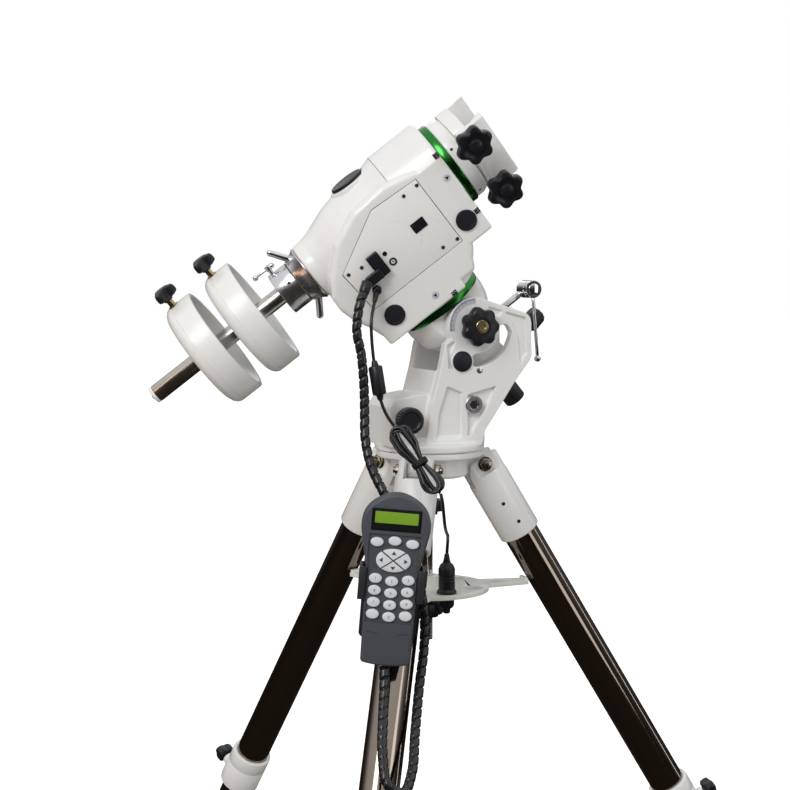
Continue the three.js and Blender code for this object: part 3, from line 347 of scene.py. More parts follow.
def surface(name, color, roughness, metallic=0.0, grain=0.0, grain_size=1.0, tone=0.05,
            rough_range=0.03, coat=0.0, smudge_size=45.0, specular=0.5):
    """Principled finish with fine bump, a slow change of tone and of gloss; sizes in millimetres."""
    material = bpy.data.materials.new(name)
    material.use_nodes = True
    nodes, links = material.node_tree.nodes, material.node_tree.links
    shader = nodes["Principled BSDF"]
    shader.inputs["Metallic"].default_value = metallic
    shader.inputs["Coat Weight"].default_value = coat
    shader.inputs["Coat Roughness"].default_value = 0.08
    shader.inputs["Specular IOR Level"].default_value = specular
    place = nodes.new("ShaderNodeTexCoord")

    def noise(size, detail):
        node = nodes.new("ShaderNodeTexNoise")
        node.inputs["Scale"].default_value = 1000.0 / size
        node.inputs["Detail"].default_value = detail
        links.new(place.outputs["Object"], node.inputs["Vector"])
        return node.outputs["Fac"]

    smudge = noise(smudge_size, 4)
    mix = nodes.new("ShaderNodeMix")
    mix.data_type = "RGBA"
    mix.inputs["A"].default_value = (*[c * (1 - tone) for c in color], 1)
    mix.inputs["B"].default_value = (*[min(1, c * (1 + tone)) for c in color], 1)
    links.new(smudge, mix.inputs["Factor"])
    links.new(mix.outputs["Result"], shader.inputs["Base Color"])
    gloss = nodes.new("ShaderNodeMapRange")
    gloss.inputs["From Min"].default_value = 0.3
    gloss.inputs["From Max"].default_value = 0.7
    gloss.inputs["To Min"].default_value = max(0.02, roughness - rough_range)
    gloss.inputs["To Max"].default_value = roughness + rough_range
    links.new(noise(smudge_size / 4, 6), gloss.inputs["Value"])
    links.new(gloss.outputs["Result"], shader.inputs["Roughness"])
    if grain:
        bump = nodes.new("ShaderNodeBump")
        bump.inputs["Strength"].default_value = grain
        bump.inputs["Distance"].default_value = grain_size / 40000
        links.new(noise(grain_size, 3), bump.inputs["Height"])
        links.new(bump.outputs["Normal"], shader.inputs["Normal"])
    return material


PAINT = surface("white_paint", (0.84, 0.84, 0.83), 0.3, grain=0.5, grain_size=1.6, tone=0.01, coat=0.3)
CAST = surface(
    "white_cast_paint", (0.83, 0.83, 0.82), 0.34, grain=0.8, grain_size=2.2, tone=0.012, coat=0.3
)
WEIGHT_PAINT = surface(
    "weight_paint", (0.82, 0.82, 0.80), 0.34, grain=0.4, grain_size=1.4, tone=0.01, coat=0.15
)
TRAY_PAINT = surface(
    "tray_paint", (0.78, 0.79, 0.74), 0.38, grain=0.4, grain_size=1.4, tone=0.015, coat=0.1
)
GREEN = surface("green_anodised", (0.035, 0.22, 0.04), 0.24, 1.0, grain=0.5, grain_size=0.5, tone=0.1)
# Dark brown metal colour for the polished tubes: painted reflection of dark brown surroundings, darker than the steel
# itself.
TUBE_PAINTED_REFLECTION = surface("polished_tube_painted_reflection", (0.27, 0.225, 0.19), 0.09, 1.0, tone=0.04, rough_range=0.015)
SHAFT_STEEL = surface(
    "turned_steel", (0.52, 0.50, 0.46), 0.2, 1.0, grain=0.5, grain_size=0.4, tone=0.03
)
SATIN = surface("satin_silver", (0.66, 0.65, 0.69), 0.25, 1.0, grain=0.5, grain_size=0.4, tone=0.02)
CHROME = surface("chrome", (0.72, 0.72, 0.75), 0.08, 1.0, tone=0.02, rough_range=0.015)
BRONZE = surface("plated_bolt", (0.34, 0.30, 0.24), 0.24, 1.0, grain=0.3, tone=0.12)
BRASS = surface("brass", (0.52, 0.42, 0.24), 0.22, 1.0, grain=0.3, tone=0.08)
KNOB = surface(
    "knob_plastic", (0.012, 0.013, 0.017), 0.32, grain=0.4, grain_size=0.8, tone=0.12, specular=0.35
)
RUBBER = surface(
    "rubber", (0.012, 0.012, 0.014), 0.6, grain=0.6, grain_size=0.9, tone=0.15, specular=0.3
)
CAP_RUBBER = surface(
    "cap_rubber", (0.012, 0.012, 0.018), 0.5, grain=1.0, grain_size=1.8, tone=0.2, specular=0.35
)
WRAP = surface(
    "spiral_wrap", (0.010, 0.010, 0.012), 0.24, grain=0.3, grain_size=2, tone=0.12, specular=0.5
)
CORD = surface("cord_sheath", (0.011, 0.011, 0.013), 0.26, grain=0.2, grain_size=1.2, tone=0.12)
HANDSET_GREY = surface(
    "handset_grey", (0.066, 0.071, 0.086), 0.5, grain=1.0, grain_size=0.9, tone=0.05, specular=0.4
)
HOLDER_BLACK = surface(
    "holder_plastic", (0.022, 0.024, 0.028), 0.5, grain=0.8, grain_size=0.9, tone=0.1, specular=0.35
)
KEY_WHITE = surface("key_rubber", (0.68, 0.70, 0.74), 0.5, grain=0.4, grain_size=0.6, tone=0.02)
KEY_PRINT = surface("key_print", (0.05, 0.055, 0.065), 0.6, tone=0.05)
BEZEL = surface("display_bezel", (0.008, 0.009, 0.010), 0.3, tone=0.1, specular=0.35)
LCD = surface("display_green", (0.20, 0.37, 0.03), 0.25, tone=0.04, coat=0.3, specular=0.3)
LABEL = surface("index_label", (0.55, 0.55, 0.62), 0.4, tone=0.03)
# Near-black: painted shade in gaps, holes, slots, grooves and seams, and the own black of printed ticks, arrows and a
# small screw.
SHADE_AND_MARK_BLACK = surface("painted_shade_and_black_marks", (0.02, 0.02, 0.022), 0.6, tone=0.1, specular=0.2)


FLOOR_GLOW = 0.62
FLOOR_BOUNCE = (0.40, 0.38, 0.36)
FLOOR_MIRRORED = (0.035, 0.028, 0.022)


def floor_finish():
    """Near-white to the camera, grey as bounce light, and dark where polished metal mirrors it."""
    material = surface("floor", (0.9, 0.9, 0.9), 0.8, tone=0.004, smudge_size=900)
    tree = material.node_tree
    seen = tree.nodes["Principled BSDF"]
    seen.inputs["Emission Color"].default_value = (1, 1, 1, 1)
    seen.inputs["Emission Strength"].default_value = FLOOR_GLOW

    def matte(color):
        node = tree.nodes.new("ShaderNodeBsdfDiffuse")
        node.inputs["Color"].default_value = (*color, 1)
        return node.outputs[0]

    others = mixed(tree, "Is Glossy Ray", matte(FLOOR_BOUNCE), matte(FLOOR_MIRRORED))
    floor = mixed(tree, "Is Camera Ray", others, seen.outputs[0])
    tree.links.new(floor, tree.nodes["Material Output"].inputs["Surface"])
    return material


FLOOR = floor_finish()

# ---- shapes


def turned(profile, segments=96):
    """Solid of revolution round Z from (radius, height) pairs: from axis to axis, or closed."""
    bm = bmesh.new()
    closed = profile[0] == profile[-1]
    rings = []
    for radius, height in profile[: -1 if closed else None]:
        count = 1 if radius == 0 else segments
        rings.append([
            bm.verts.new((
                radius * math.cos(2 * math.pi * i / count),
                radius * math.sin(2 * math.pi * i / count),
                height,
            ))
            for i in range(count)
        ])
    if closed:
        rings.append(rings[0])
    for low, high in zip(rings, rings[1:]):
        for i in range(segments):
            j = (i + 1) % segments
            around = [low[i % len(low)], low[j % len(low)], high[j % len(high)], high[i % len(high)]]
            bm.faces.new(list(dict.fromkeys(around)))
    return bm


def pin(radius, low, high, segments=96):
    """Plain round bar along Z, for bores and for the roots of castings."""
    return turned([(0, low), (radius, low), (radius, high), (0, high)], segments)


def round_edges(bm, width, segments=3, angle=35):
    edges = [
        e for e in bm.edges
        if len(e.link_faces) == 2 and e.calc_face_angle(0) > math.radians(angle)
    ]
    bmesh.ops.bevel(
        bm, geom=edges, offset=width, segments=segments, profile=0.5, affect="EDGES", clamp_overlap=True
    )
    return bm


def prism(outline, low, high, bevel=0.0, segments=3, angle=35):
    """Outline in X-Y given a thickness along Z, with rounded edges."""
    bm = bmesh.new()
    bottom = [bm.verts.new((x, y, low)) for x, y in outline]
    top = [bm.verts.new((x, y, high)) for x, y in outline]
    bm.faces.new(bottom[::-1])
    bm.faces.new(top)
    for i in range(len(outline)):
        j = (i + 1) % len(outline)
        bm.faces.new((bottom[i], bottom[j], top[j], top[i]))
    bmesh.ops.recalc_face_normals(bm, faces=bm.faces)
    if bevel:
        round_edges(bm, bevel, segments, angle)
    return bm


def block(x0, x1, y0, y1, z0, z1, bevel=0.0, segments=3):
    return prism([(x0, y0), (x1, y0), (x1, y1), (x0, y1)], z0, z1, bevel, segments)


def rod(radius, low, high, edge=0.6, end_radius=None, segments=48):
    """Round bar along Z with rounded ends, tapered if `end_radius` is given."""
    top = radius if end_radius is None else end_radius
    return turned([
        (0, low), (radius - edge, low), (radius - edge * 0.3, low + edge * 0.3), (radius, low + edge),
        (top, high - edge), (top - edge * 0.3, high - edge * 0.3), (top - edge, high), (0, high),
    ], segments)


def ball(centre, radius, segments=32):
    bm = bmesh.new()
    bmesh.ops.create_uvsphere(bm, u_segments=segments, v_segments=segments // 2, radius=radius)
    bm.transform(Matrix.Translation(centre))
    return bm


def between(a, b):
    """Frame at `a` whose +Z runs to `b`."""
    way = Vector(b) - Vector(a)
    return Matrix.Translation(a) @ way.to_track_quat("Z", "Y").to_matrix().to_4x4()


def moved(bm, matrix):
    bm.transform(matrix)
    return bm


def merged(*parts):
    """All the shapes in one mesh; where they overlap they read as one solid."""
    whole = parts[0]
    for part in parts[1:]:
        mesh = bpy.data.meshes.new("part")
        part.to_mesh(mesh)
        part.free()
        whole.from_mesh(mesh)
        bpy.data.meshes.remove(mesh)
    return whole


def circle(x, y, radius, start=0, stop=360, steps=48):
    """Points of an arc; a full circle leaves its last point out."""
    count = steps if abs(stop - start) == 360 else steps + 1
    return [
        (
            x + radius * math.cos(math.radians(start + (stop - start) * i / steps)),
            y + radius * math.sin(math.radians(start + (stop - start) * i / steps)),
        )
        for i in range(count)
    ]


def rounded_box(x0, x1, y0, y1, radius, steps=8):
    corners = [
        (x1 - radius, y0 + radius, -90), (x1 - radius, y1 - radius, 0),
        (x0 + radius, y1 - radius, 90), (x0 + radius, y0 + radius, 180),
    ]
    return [p for x, y, a in corners for p in circle(x, y, radius, a, a + 90, steps)]


def bent(start, control, stop, steps=8):
    """Points of a quadratic curve after its start."""
    points = []
    for i in range(1, steps + 1):
        t = i / steps
        points.append(tuple(
            (1 - t) ** 2 * s + 2 * t * (1 - t) * c + t * t * e
            for s, c, e in zip(start, control, stop)
        ))
    return points


def lobed(profile, lobes, depth, sharpness=1.3, steps=16):
    """Hand-knob body: a turned profile whose rim is drawn in `depth` between its lobes."""
    widest = max(radius for radius, _ in profile)
    bm = turned(profile, lobes * steps)
    for v in bm.verts:
        radius = math.hypot(v.co.x, v.co.y)
        if radius < 1e-6:
            continue
        angle = math.atan2(v.co.y, v.co.x)
        hollow = (0.5 - 0.5 * math.cos(lobes * angle)) ** sharpness
        share = max(0.0, radius / widest - 0.45) / 0.55
        scale = 1 - depth * hollow * share ** 1.5 / radius
        v.co.x *= scale
        v.co.y *= scale
    return bm


def as_object(bm, name="work"):
    """The shape as an object in the scene; the bmesh is used up."""
    mesh = bpy.data.meshes.new(name)
    bm.to_mesh(mesh)
    bm.free()
    return linked(name, mesh)


def as_shape(made):
    """The object's mesh with its modifiers, as a bmesh; the object goes."""
    evaluated = made.evaluated_get(bpy.context.evaluated_depsgraph_get())
    bm = bmesh.new()
    bm.from_mesh(evaluated.to_mesh())
    mesh = made.data
    bpy.data.objects.remove(made)
    bpy.data.meshes.remove(mesh)
    return bm


def combined(body, *tools, how="DIFFERENCE"):
    """Exact boolean of closed shapes."""
    base = as_object(body)
    others = [as_object(tool) for tool in tools]
    for other in others:
        modifier = base.modifiers.new("boolean", "BOOLEAN")
        modifier.operation = how
        modifier.object = other
        modifier.solver = "EXACT"
    made = as_shape(base)
    for other in others:
        bpy.data.objects.remove(other)
    return made


def fused(body, voxel, passes, keep=0.3):
    """One cast skin over overlapping solids: fillets where they meet, soft outer edges."""
    made = as_object(body)
    remesh = made.modifiers.new("remesh", "REMESH")
    remesh.mode = "VOXEL"
    remesh.voxel_size = voxel
    smooth = made.modifiers.new("smooth", "SMOOTH")
    smooth.factor = 0.5
    smooth.iterations = passes
    decimate = made.modifiers.new("decimate", "DECIMATE")
    decimate.ratio = keep
    return as_shape(made)


# ---- pieces

SLOT_OF_FINISH = {
    PAINT: "white_panel", CAST: "white_casting", LABEL: "white_panel", LCD: "green_anodised",
    SATIN: "satin_silver", BRONZE: "satin_silver", BRASS: "satin_silver", CHROME: "chrome",
    KNOB: "black_knob", HANDSET_GREY: "handset_grey", SHADE_AND_MARK_BLACK: "black_rubber", CAP_RUBBER: "black_rubber",
    BEZEL: "black_rubber", KEY_PRINT: "black_rubber",
}


def shown(name, bm, material, sharp):
    """The shape as a smooth object that keeps the edges sharper than `sharp` degrees."""
    bmesh.ops.recalc_face_normals(bm, faces=bm.faces)
    made = as_object(bm, name)
    made.data.shade_smooth()
    made.data.set_sharp_from_angle(angle=math.radians(sharp))
    made.data.materials.append(material)
    return made


def piece(name, bm, place, body, material, stands_for=(), slot=None, sharp=32):
    """A visible piece on a body. Its material slot is the CAD node's, or else its finish's own."""
    made = shown(name, moved(bm, place), material, sharp)
    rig.ride(made, body)
    if stands_for:
        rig.replaces(made, *stands_for)
        slot = slot or slot_of_node[stands_for[0]]
    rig.slot(made, slot or SLOT_OF_FINISH[material])
    return made


def stand_in(node, bm, place, material, sharp=32):
    """A finer piece in a CAD node's place."""
    return piece(f"{node}_skin", bm, place, body_of_node[node], material, [node], sharp=sharp)


def finished(node, bevel, material, segments=2):
    """The CAD node's own shape with its edges rounded."""
    bm = bmesh.new()
    bm.from_mesh(frame["nodes"][node].data)
    bmesh.ops.remove_doubles(bm, verts=bm.verts, dist=2e-6)
    bmesh.ops.dissolve_limit(bm, angle_limit=math.radians(2), verts=bm.verts, edges=bm.edges)
    if bevel:
        round_edges(bm, bevel / 1000, segments, 40)
    return stand_in(node, bm, AS_IS, material)


# ---- cords

HANDSET_CORD = 13.0
POWER_CORD = 4.4
HANDSET_STEP = 1.5  # along a cord, from one ring of its mesh to the next
POWER_STEP = 1.6
HANK_STEP = 1.8
CURVE_STEPS = 24
HANDSET_ROUTE = [
    (-124, -72, 1069), (-130, -75, 1056), (-134, -77, 1039), (-136, -79, 1017), (-132, -82, 994),
    (-130, -85, 971), (-129, -88, 938), (-130, -92, 909), (-132, -99, 881), (-131, -112, 852),
    (-128, -127, 832), (-122, -142, 812), (-113, -156, 788), (-101, -167, 755), (-90, -174, 717),
    (-83, -177, 682), (-80, -180, 647), (-84, -188, 613), (-98, -207, 570), (-118, -243, 522),
    (-139, -285, 486), (-162, -313, 472), (-181, -313, 484), (-178, -287, 514), (-165, -254, 548),
    (-155, -232, 580), (-151, -221.5, 604),
]
POWER_ROUTE_UPPER = [
    (-107, -67.5, 1057), (-111, -72, 1046), (-115, -77, 1031), (-115, -79, 1007), (-113, -82, 978),
    (-110, -86, 954), (-107, -88, 932), (-102, -91, 915), (-96, -95, 902), (-90.4, -97.6, 893.8),
]
HANK_ENDS = ((-90, -98, 893), (-44, -146, 808))
POWER_ROUTE_LOWER = [
    (-43.6, -146.4, 807.2), (-42, -149, 795), (-39, -146, 778), (-31, -131, 761), (-19, -108, 748),
    (-8, -86, 740), (-1.8, -71.5, 730), (0, -64.5, 712.2),
]


def path_length(path):
    return sum((b - a).length for a, b in zip(path, path[1:]))


def part_way(a, b, low, high, t):
    return a * ((high - t) / (high - low)) + b * ((t - low) / (high - low))


def smooth_path(points, step):
    """Evenly spaced points of the centripetal curve through the route."""
    ends = [Vector(p) for p in points]
    ends = [2 * ends[0] - ends[1], *ends, 2 * ends[-1] - ends[-2]]
    fine = []
    for p0, p1, p2, p3 in zip(ends, ends[1:], ends[2:], ends[3:]):
        t1 = (p1 - p0).length ** 0.5
        t2 = t1 + (p2 - p1).length ** 0.5
        t3 = t2 + (p3 - p2).length ** 0.5
        for i in range(CURVE_STEPS):
            t = t1 + (t2 - t1) * i / CURVE_STEPS
            middle = part_way(p1, p2, t1, t2, t)
            near = part_way(part_way(p0, p1, 0, t1, t), middle, 0, t2, t)
            far = part_way(middle, part_way(p2, p3, t2, t3, t), t1, t3, t)
            fine.append(part_way(near, far, t1, t2, t))
    fine.append(ends[-2])
    length = path_length(fine)
    count = max(2, round(length / step))
    spaced, walked, target = [fine[0]], 0.0, length / count
    for a, b in zip(fine, fine[1:]):
        stretch = (b - a).length
        while len(spaced) < count and walked + stretch >= target * len(spaced):
            spaced.append(a.lerp(b, (target * len(spaced) - walked) / stretch))
        walked += stretch
    spaced.append(fine[-1])
    return spaced


def swept(path, radius_at, sides):
    """Closed tube along a path; radius_at(distance, angle) gives its radius."""
    bm = bmesh.new()
    rings = []
    across = None
    walked = 0.0
    for i, point in enumerate(path):
        way = (path[min(i + 1, len(path) - 1)] - path[max(i - 1, 0)]).normalized()
        if across is None:
            across = way.orthogonal().normalized()
        across = (across - way * across.dot(way)).normalized()
        up = way.cross(across)
        if i:
            walked += (point - path[i - 1]).length
        ring = []
        for k in range(sides):
            angle = 2 * math.pi * k / sides
            radius = radius_at(walked, angle)
            ring.append(bm.verts.new(
                point + radius * (across * math.cos(angle) + up * math.sin(angle))
            ))
        rings.append(ring)
    for low, high in zip(rings, rings[1:]):
        for k in range(sides):
            j = (k + 1) % sides
            bm.faces.new((low[k], low[j], high[j], high[k]))
    bm.faces.new(rings[0][::-1])
    bm.faces.new(rings[-1])
    return bm


BLEND_MARGIN = 0.06  # share of a stretch, at either end, that rides wholly on one body


def cord_stretch(name, path, diameter, radius_at, sides, material, bodies, node, far_end,
                 with_pieces=()):
    """One stretch of cord, on one body or bending between two that a joint joins."""
    bm = moved(swept(path, radius_at, sides), MOUNT)
    points = [MOUNT @ p for p in path]
    if len(bodies) == 1:
        made = piece(name, bm, AS_IS, bodies[0], material, slot=slot_of_node[node], sharp=50)
    else:
        made = shown(name, bm, material, 50)
        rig.slot(made, slot_of_node[node])
        margin = (points[-1] - points[0]) * BLEND_MARGIN
        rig.blend(made, *bodies, start=points[0] + margin, end=points[-1] - margin)
    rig.replaces(made, node)
    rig.cord(
        made, exit=points[0], length=path_length(points), diameter=diameter / 1000, far_end=far_end,
        stiffness="medium", lay="hanging", path=points, with_pieces=with_pieces,
    )


def split(path, shares):
    """Cuts a path at the given shares of its points."""
    cuts = [0, *[round(s * (len(path) - 1)) for s in shares], len(path) - 1]
    return [path[a:b + 1] for a, b in zip(cuts, cuts[1:])]


WRAP_PITCH = 13.5
WRAP_COVER = 0.84  # share of a turn that the band covers
WRAP_RADIUS = 6.35
CABLE_RADIUS = 4.9


def wrap_radius(distance, angle):
    """Spiral wrap: a band with a gap, its leading edge a little proud."""
    turn_share = (distance / WRAP_PITCH - angle / (2 * math.pi)) % 1.0
    if turn_share > WRAP_COVER:
        return CABLE_RADIUS
    edge = min(turn_share, WRAP_COVER - turn_share) / WRAP_COVER
    return WRAP_RADIUS - 0.5 * math.exp(-edge * 22) + 0.15 * turn_share


# The bodies that each stretch of the hand controller's cord rides on, and the shares where it is cut.
HANDSET_RUNS = [
    ("ra",), ("ra", "altitude"), ("altitude", "azimuth"), ("azimuth", "root"), ("root",),
    ("root", "leg_1"), ("leg_1", "handset"),
]
HANDSET_CUTS = (0.1, 0.21, 0.32, 0.42, 0.51, 0.62)


def handset_cord(plug):
    path = smooth_path(HANDSET_ROUTE, HANDSET_STEP)
    for i, (bodies, stretch) in enumerate(zip(HANDSET_RUNS, split(path, HANDSET_CUTS))):
        cord_stretch(
            f"handset_cord_{i + 1}", stretch, HANDSET_CORD, wrap_radius, 24, WRAP, bodies,
            "handset_cord", "object", with_pieces=[plug] if i == 0 else (),
        )


POWER_RUNS_UPPER = [("ra", "altitude"), ("altitude", "azimuth"), ("azimuth",)]
POWER_RUNS_LOWER = [("azimuth", "root"), ("root", "tray")]


def round_cord(_distance, _angle):
    return POWER_CORD / 2


def power_cords(connector, plug):
    upper = split(smooth_path(POWER_ROUTE_UPPER, POWER_STEP), (0.24, 0.47))
    bead = piece(
        "ferrite_bead", merged(
            rod(9.4, 0, 39, 2.6), turned([(0, -7), (3.4, -7), (5.6, 2), (5.6, 37), (3.4, 46), (0, 46)]),
            block(-9.9, 9.9, -1.4, 1.4, 3, 36, 0.6),
        ),
        MOUNT @ between((-112, -83.2, 973), (-107.2, -88, 935)), "azimuth", KNOB, slot="cord_rubber",
    )
    extras = [[connector], [], [bead]]
    for i, (bodies, stretch) in enumerate(zip(POWER_RUNS_UPPER, upper)):
        cord_stretch(
            f"power_cord_{i + 1}", stretch, POWER_CORD, round_cord, 16, CORD, bodies,
            "power_cord_upper", "object", with_pieces=extras[i],
        )
    power_hank()
    lower = split(smooth_path(POWER_ROUTE_LOWER, POWER_STEP), (0.5,))
    for i, (bodies, stretch) in enumerate(zip(POWER_RUNS_LOWER, lower)):
        cord_stretch(
            f"power_cord_{i + 4}", stretch, POWER_CORD, round_cord, 16, CORD, bodies,
            "power_cord_lower", "plug" if i else "object", with_pieces=[plug] if i else (),
        )


# Each loop of the hank: its place across and through the bundle, in cord spacings.
HANK_LOOPS = [(-1.0, 0.9), (1.0, -0.5), (-0.6, -1.6), (0.6, 1.6), (-1.3, -0.4), (1.3, 0.7), (0.1, 0.1)]
HANK_SPACING = 3.8
HANK_FACES = Vector((-0.36, -0.93, 0))
WAIST = 0.5
WAIST_LENGTH = 26
FOLD_RADIUS = 8.2
TIE_FROM_MIDDLE = 6
STEPS_PER_LOOP = 56
FIRST_SHARE = 0.1
LAST_SHARE = 0.4


def loop_place(share, reach, radius):
    """Place along and across at a share of the way round a long loop, from the tip of one fold."""
    straight = 2 * (reach - radius)
    arc = math.pi * radius
    walked = share % 1.0 * 2 * (straight + arc)
    way = 1
    if walked >= straight + arc:
        walked -= straight + arc
        way = -1
    if walked < arc / 2:
        run = -reach + radius * (1 - math.cos(walked / radius))
        side = radius * math.sin(walked / radius)
    elif walked < arc / 2 + straight:
        run = walked - arc / 2 - straight / 2
        side = radius
    else:
        bend = (walked - arc / 2 - straight) / radius
        run = straight / 2 + radius * math.sin(bend)
        side = radius * math.cos(bend)
    return run * way, side * way


def easing(values, laps):
    """The value for the loop that the cord is on, easing into the next loop's by its end."""
    k = min(int(laps), len(values) - 1)
    ease = max(0.0, (laps - k - 0.4) / 0.6)
    following = values[min(k + 1, len(values) - 1)]
    return values[k] + (following - values[k]) * ease * ease * (3 - 2 * ease)


def power_hank():
    """The tied bundle: one cord laid to and fro in long loops, waisted at its tie."""
    start, stop = Vector(HANK_ENDS[0]), Vector(HANK_ENDS[1])
    along = (stop - start).normalized()
    across = along.cross(HANK_FACES).normalized()
    out = across.cross(along).normalized()
    middle = (start + stop) / 2
    half = (stop - start).length / 2
    path = []
    lanes, layers = zip(*HANK_LOOPS)
    radii = [FOLD_RADIUS + 0.5 * (k % 3) for k in range(len(HANK_LOOPS))]
    reaches = [half - 3 - 1.8 * (k % 3) for k in range(len(HANK_LOOPS))]
    first = round(FIRST_SHARE * STEPS_PER_LOOP)
    final = round((len(HANK_LOOPS) - 1 + LAST_SHARE) * STEPS_PER_LOOP)
    for i in range(first, final):
        laps = i / STEPS_PER_LOOP
        run, side = loop_place(laps, easing(reaches, laps), easing(radii, laps))
        waist = WAIST + (1 - WAIST) * min(1.0, abs(run - TIE_FROM_MIDDLE) / WAIST_LENGTH) ** 1.4
        sway = 1.2 * math.cos((2 * math.pi + 1) * laps)
        across_by = (side + easing(lanes, laps) * HANK_SPACING) * waist
        out_by = (easing(layers, laps) * HANK_SPACING + sway) * waist
        path.append(middle + along * run + across * across_by + out * out_by)
    path = smooth_path([start, *path, stop], HANK_STEP)
    tie_at = middle + along * TIE_FROM_MIDDLE
    tie = piece(
        "hank_tie",
        turned([(9.6, -3.5), (11.2, -3.5), (11.6, 0), (11.2, 3.5), (9.6, 3.5), (9.6, -3.5)], 64),
        MOUNT @ between(tie_at, tie_at + along), "azimuth", RUBBER, slot="cord_rubber",
    )
    bm = moved(swept(path, round_cord, 10), MOUNT)
    points = [MOUNT @ p for p in path]
    made = piece("power_hank_cord", bm, AS_IS, "azimuth", CORD, slot="cord_rubber", sharp=60)
    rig.replaces(made, "power_hank")
    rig.cord(
        made, exit=points[0], length=path_length(points), diameter=POWER_CORD / 1000, far_end="object",
        stiffness="limp", lay="coiled", path=points, with_pieces=[tie],
    )


# ---- outlines and casting helpers


def traced(*moves):
    """Outline from points (x, y) and quadratic curves (control x, control y, x, y)."""
    points = []
    for move in moves:
        points += [move] if len(move) == 2 else bent(points[-1], move[:2], move[2:])
    return points


def upright(outline, y0, y1, bevel=0.0, segments=3):
    """Outline in the X-Z plane given a thickness along Y."""
    return moved(prism(outline, -y1, -y0, bevel, segments), turn("X", 90))


def along_x(bm):
    return moved(bm, turn("Y", 90))


def along_y(bm):
    return moved(bm, turn("X", -90))


def cast(parts, tools=(), voxel=1.3, passes=6, keep=0.35):
    """Overlapping solids as one casting, with its machined recesses cut after the skin is smooth."""
    skin = fused(merged(*parts), voxel, passes, keep)
    return combined(skin, *tools) if tools else skin


def spread(points, amount):
    """The outline moved out or in from its middle."""
    middle = Vector((sum(p[0] for p in points), sum(p[1] for p in points))) / len(points)
    made = []
    for p in points:
        away = Vector(p) - middle
        made.append(tuple(middle + away * (1 + amount / away.length)))
    return made


def hexagon(radius):
    return circle(0, 0, radius, steps=6)


def screw_head(radius, height):
    """Round screw head on the plane Z = 0."""
    profile = [(0, -1), (radius, -1), (radius, height * 0.5), (radius * 0.86, height), (0, height)]
    return turned(profile, 32)


def cross_inlay(radius, height):
    """The cross slot of a screw head, as a dark inlay: painted shade in the slot."""
    arm, half = radius * 0.62, radius * 0.13
    return merged(
        block(-arm, arm, -half, half, height - 0.3, height + 0.05),
        block(-half, half, -arm, arm, height - 0.3, height + 0.05),
    )


def ring_band(inner, outer, low, high, edge=0.8, segments=128):
    return turned([
        (inner, low), (outer - edge, low), (outer - edge * 0.3, low + edge * 0.3), (outer, low + edge),
        (outer, high - edge), (outer - edge * 0.3, high - edge * 0.3), (outer - edge, high),
        (inner, high), (inner, low),
    ], segments)


# ---- tripod


def tripod_head():
    body = turned([
        (0, 812), (49, 812), (52, 813), (54, 816), (54, 839), (56, 840.5), (72.5, 840.5), (73.6, 841.3),
        (74, 842.4), (74, 848.4), (73.4, 849.6), (72, 850), (0, 850),
    ], 128)
    lugs = []
    for angle in LEG_TURNS:
        pin_end = circle(LEG_PIN[0], LEG_PIN[2], 12, -120, 50, 20)
        arm = upright([(30, 814), (66, 814), *pin_end, (70, 844), (30, 844)], -13, 13, 1.6)
        lugs.append(moved(arm, turn("Z", angle)))
    stand_in("tripod_head", merged(body, *lugs), MOUNT, PAINT)
    stand_in("azimuth_peg", rod(5.5, 842, 908, 1), MOUNT @ shift(AZIMUTH_SCREW[0], 0, 0), SHAFT_STEEL)
    for number, angle in enumerate(LEG_TURNS, 1):
        for end, side in (("near", -1), ("far", 1)):
            place = MOUNT @ turn("Z", angle) @ shift(*LEG_PIN) @ turn("X", -90 * side)
            nut = merged(
                prism(hexagon(9.2), 23.8, 31, 1.1), pin(10.4, 23, 24.2, 40), rod(4.6, 30, 34.5, 0.8),
            )
            piece(f"hinge_bolt_{number}_{end}", nut, place, "root", BRONZE)


def central_parts():
    threads = [
        turned([(4.8, z), (5.25, z + 0.75), (4.8, z + 1.5), (4.8, z)], 24) for z in range(580, 640, 2)
    ]
    stand_in("central_rod", merged(rod(5, 578, 840, 0.8), *threads), MOUNT, CHROME)
    grip = lobed([
        (5.5, 757), (12, 757), (12, 761), (19, 762), (22, 764), (22.5, 767), (22.5, 773), (21.5, 776.5),
        (18, 778), (11, 778.5), (11, 805), (10, 806), (5.5, 806), (5.5, 757),
    ], 7, 3)
    stand_in("rod_knob", grip, MOUNT, KNOB)
    nut = lobed([
        (5.5, 611), (13, 611), (14, 613), (14, 615), (20, 615.7), (22.6, 618), (23, 621), (23, 627),
        (22, 630.4), (18, 631.7), (13.5, 632), (13, 637.4), (5.5, 637.4), (5.5, 611),
    ], 6, 3.5)
    stand_in("tray_nut", nut, MOUNT, KNOB)
    finished("spreader_tray", 1.4, TRAY_PAINT, 3)


LOCK_DEPTH = -628
TUBE_END = -620


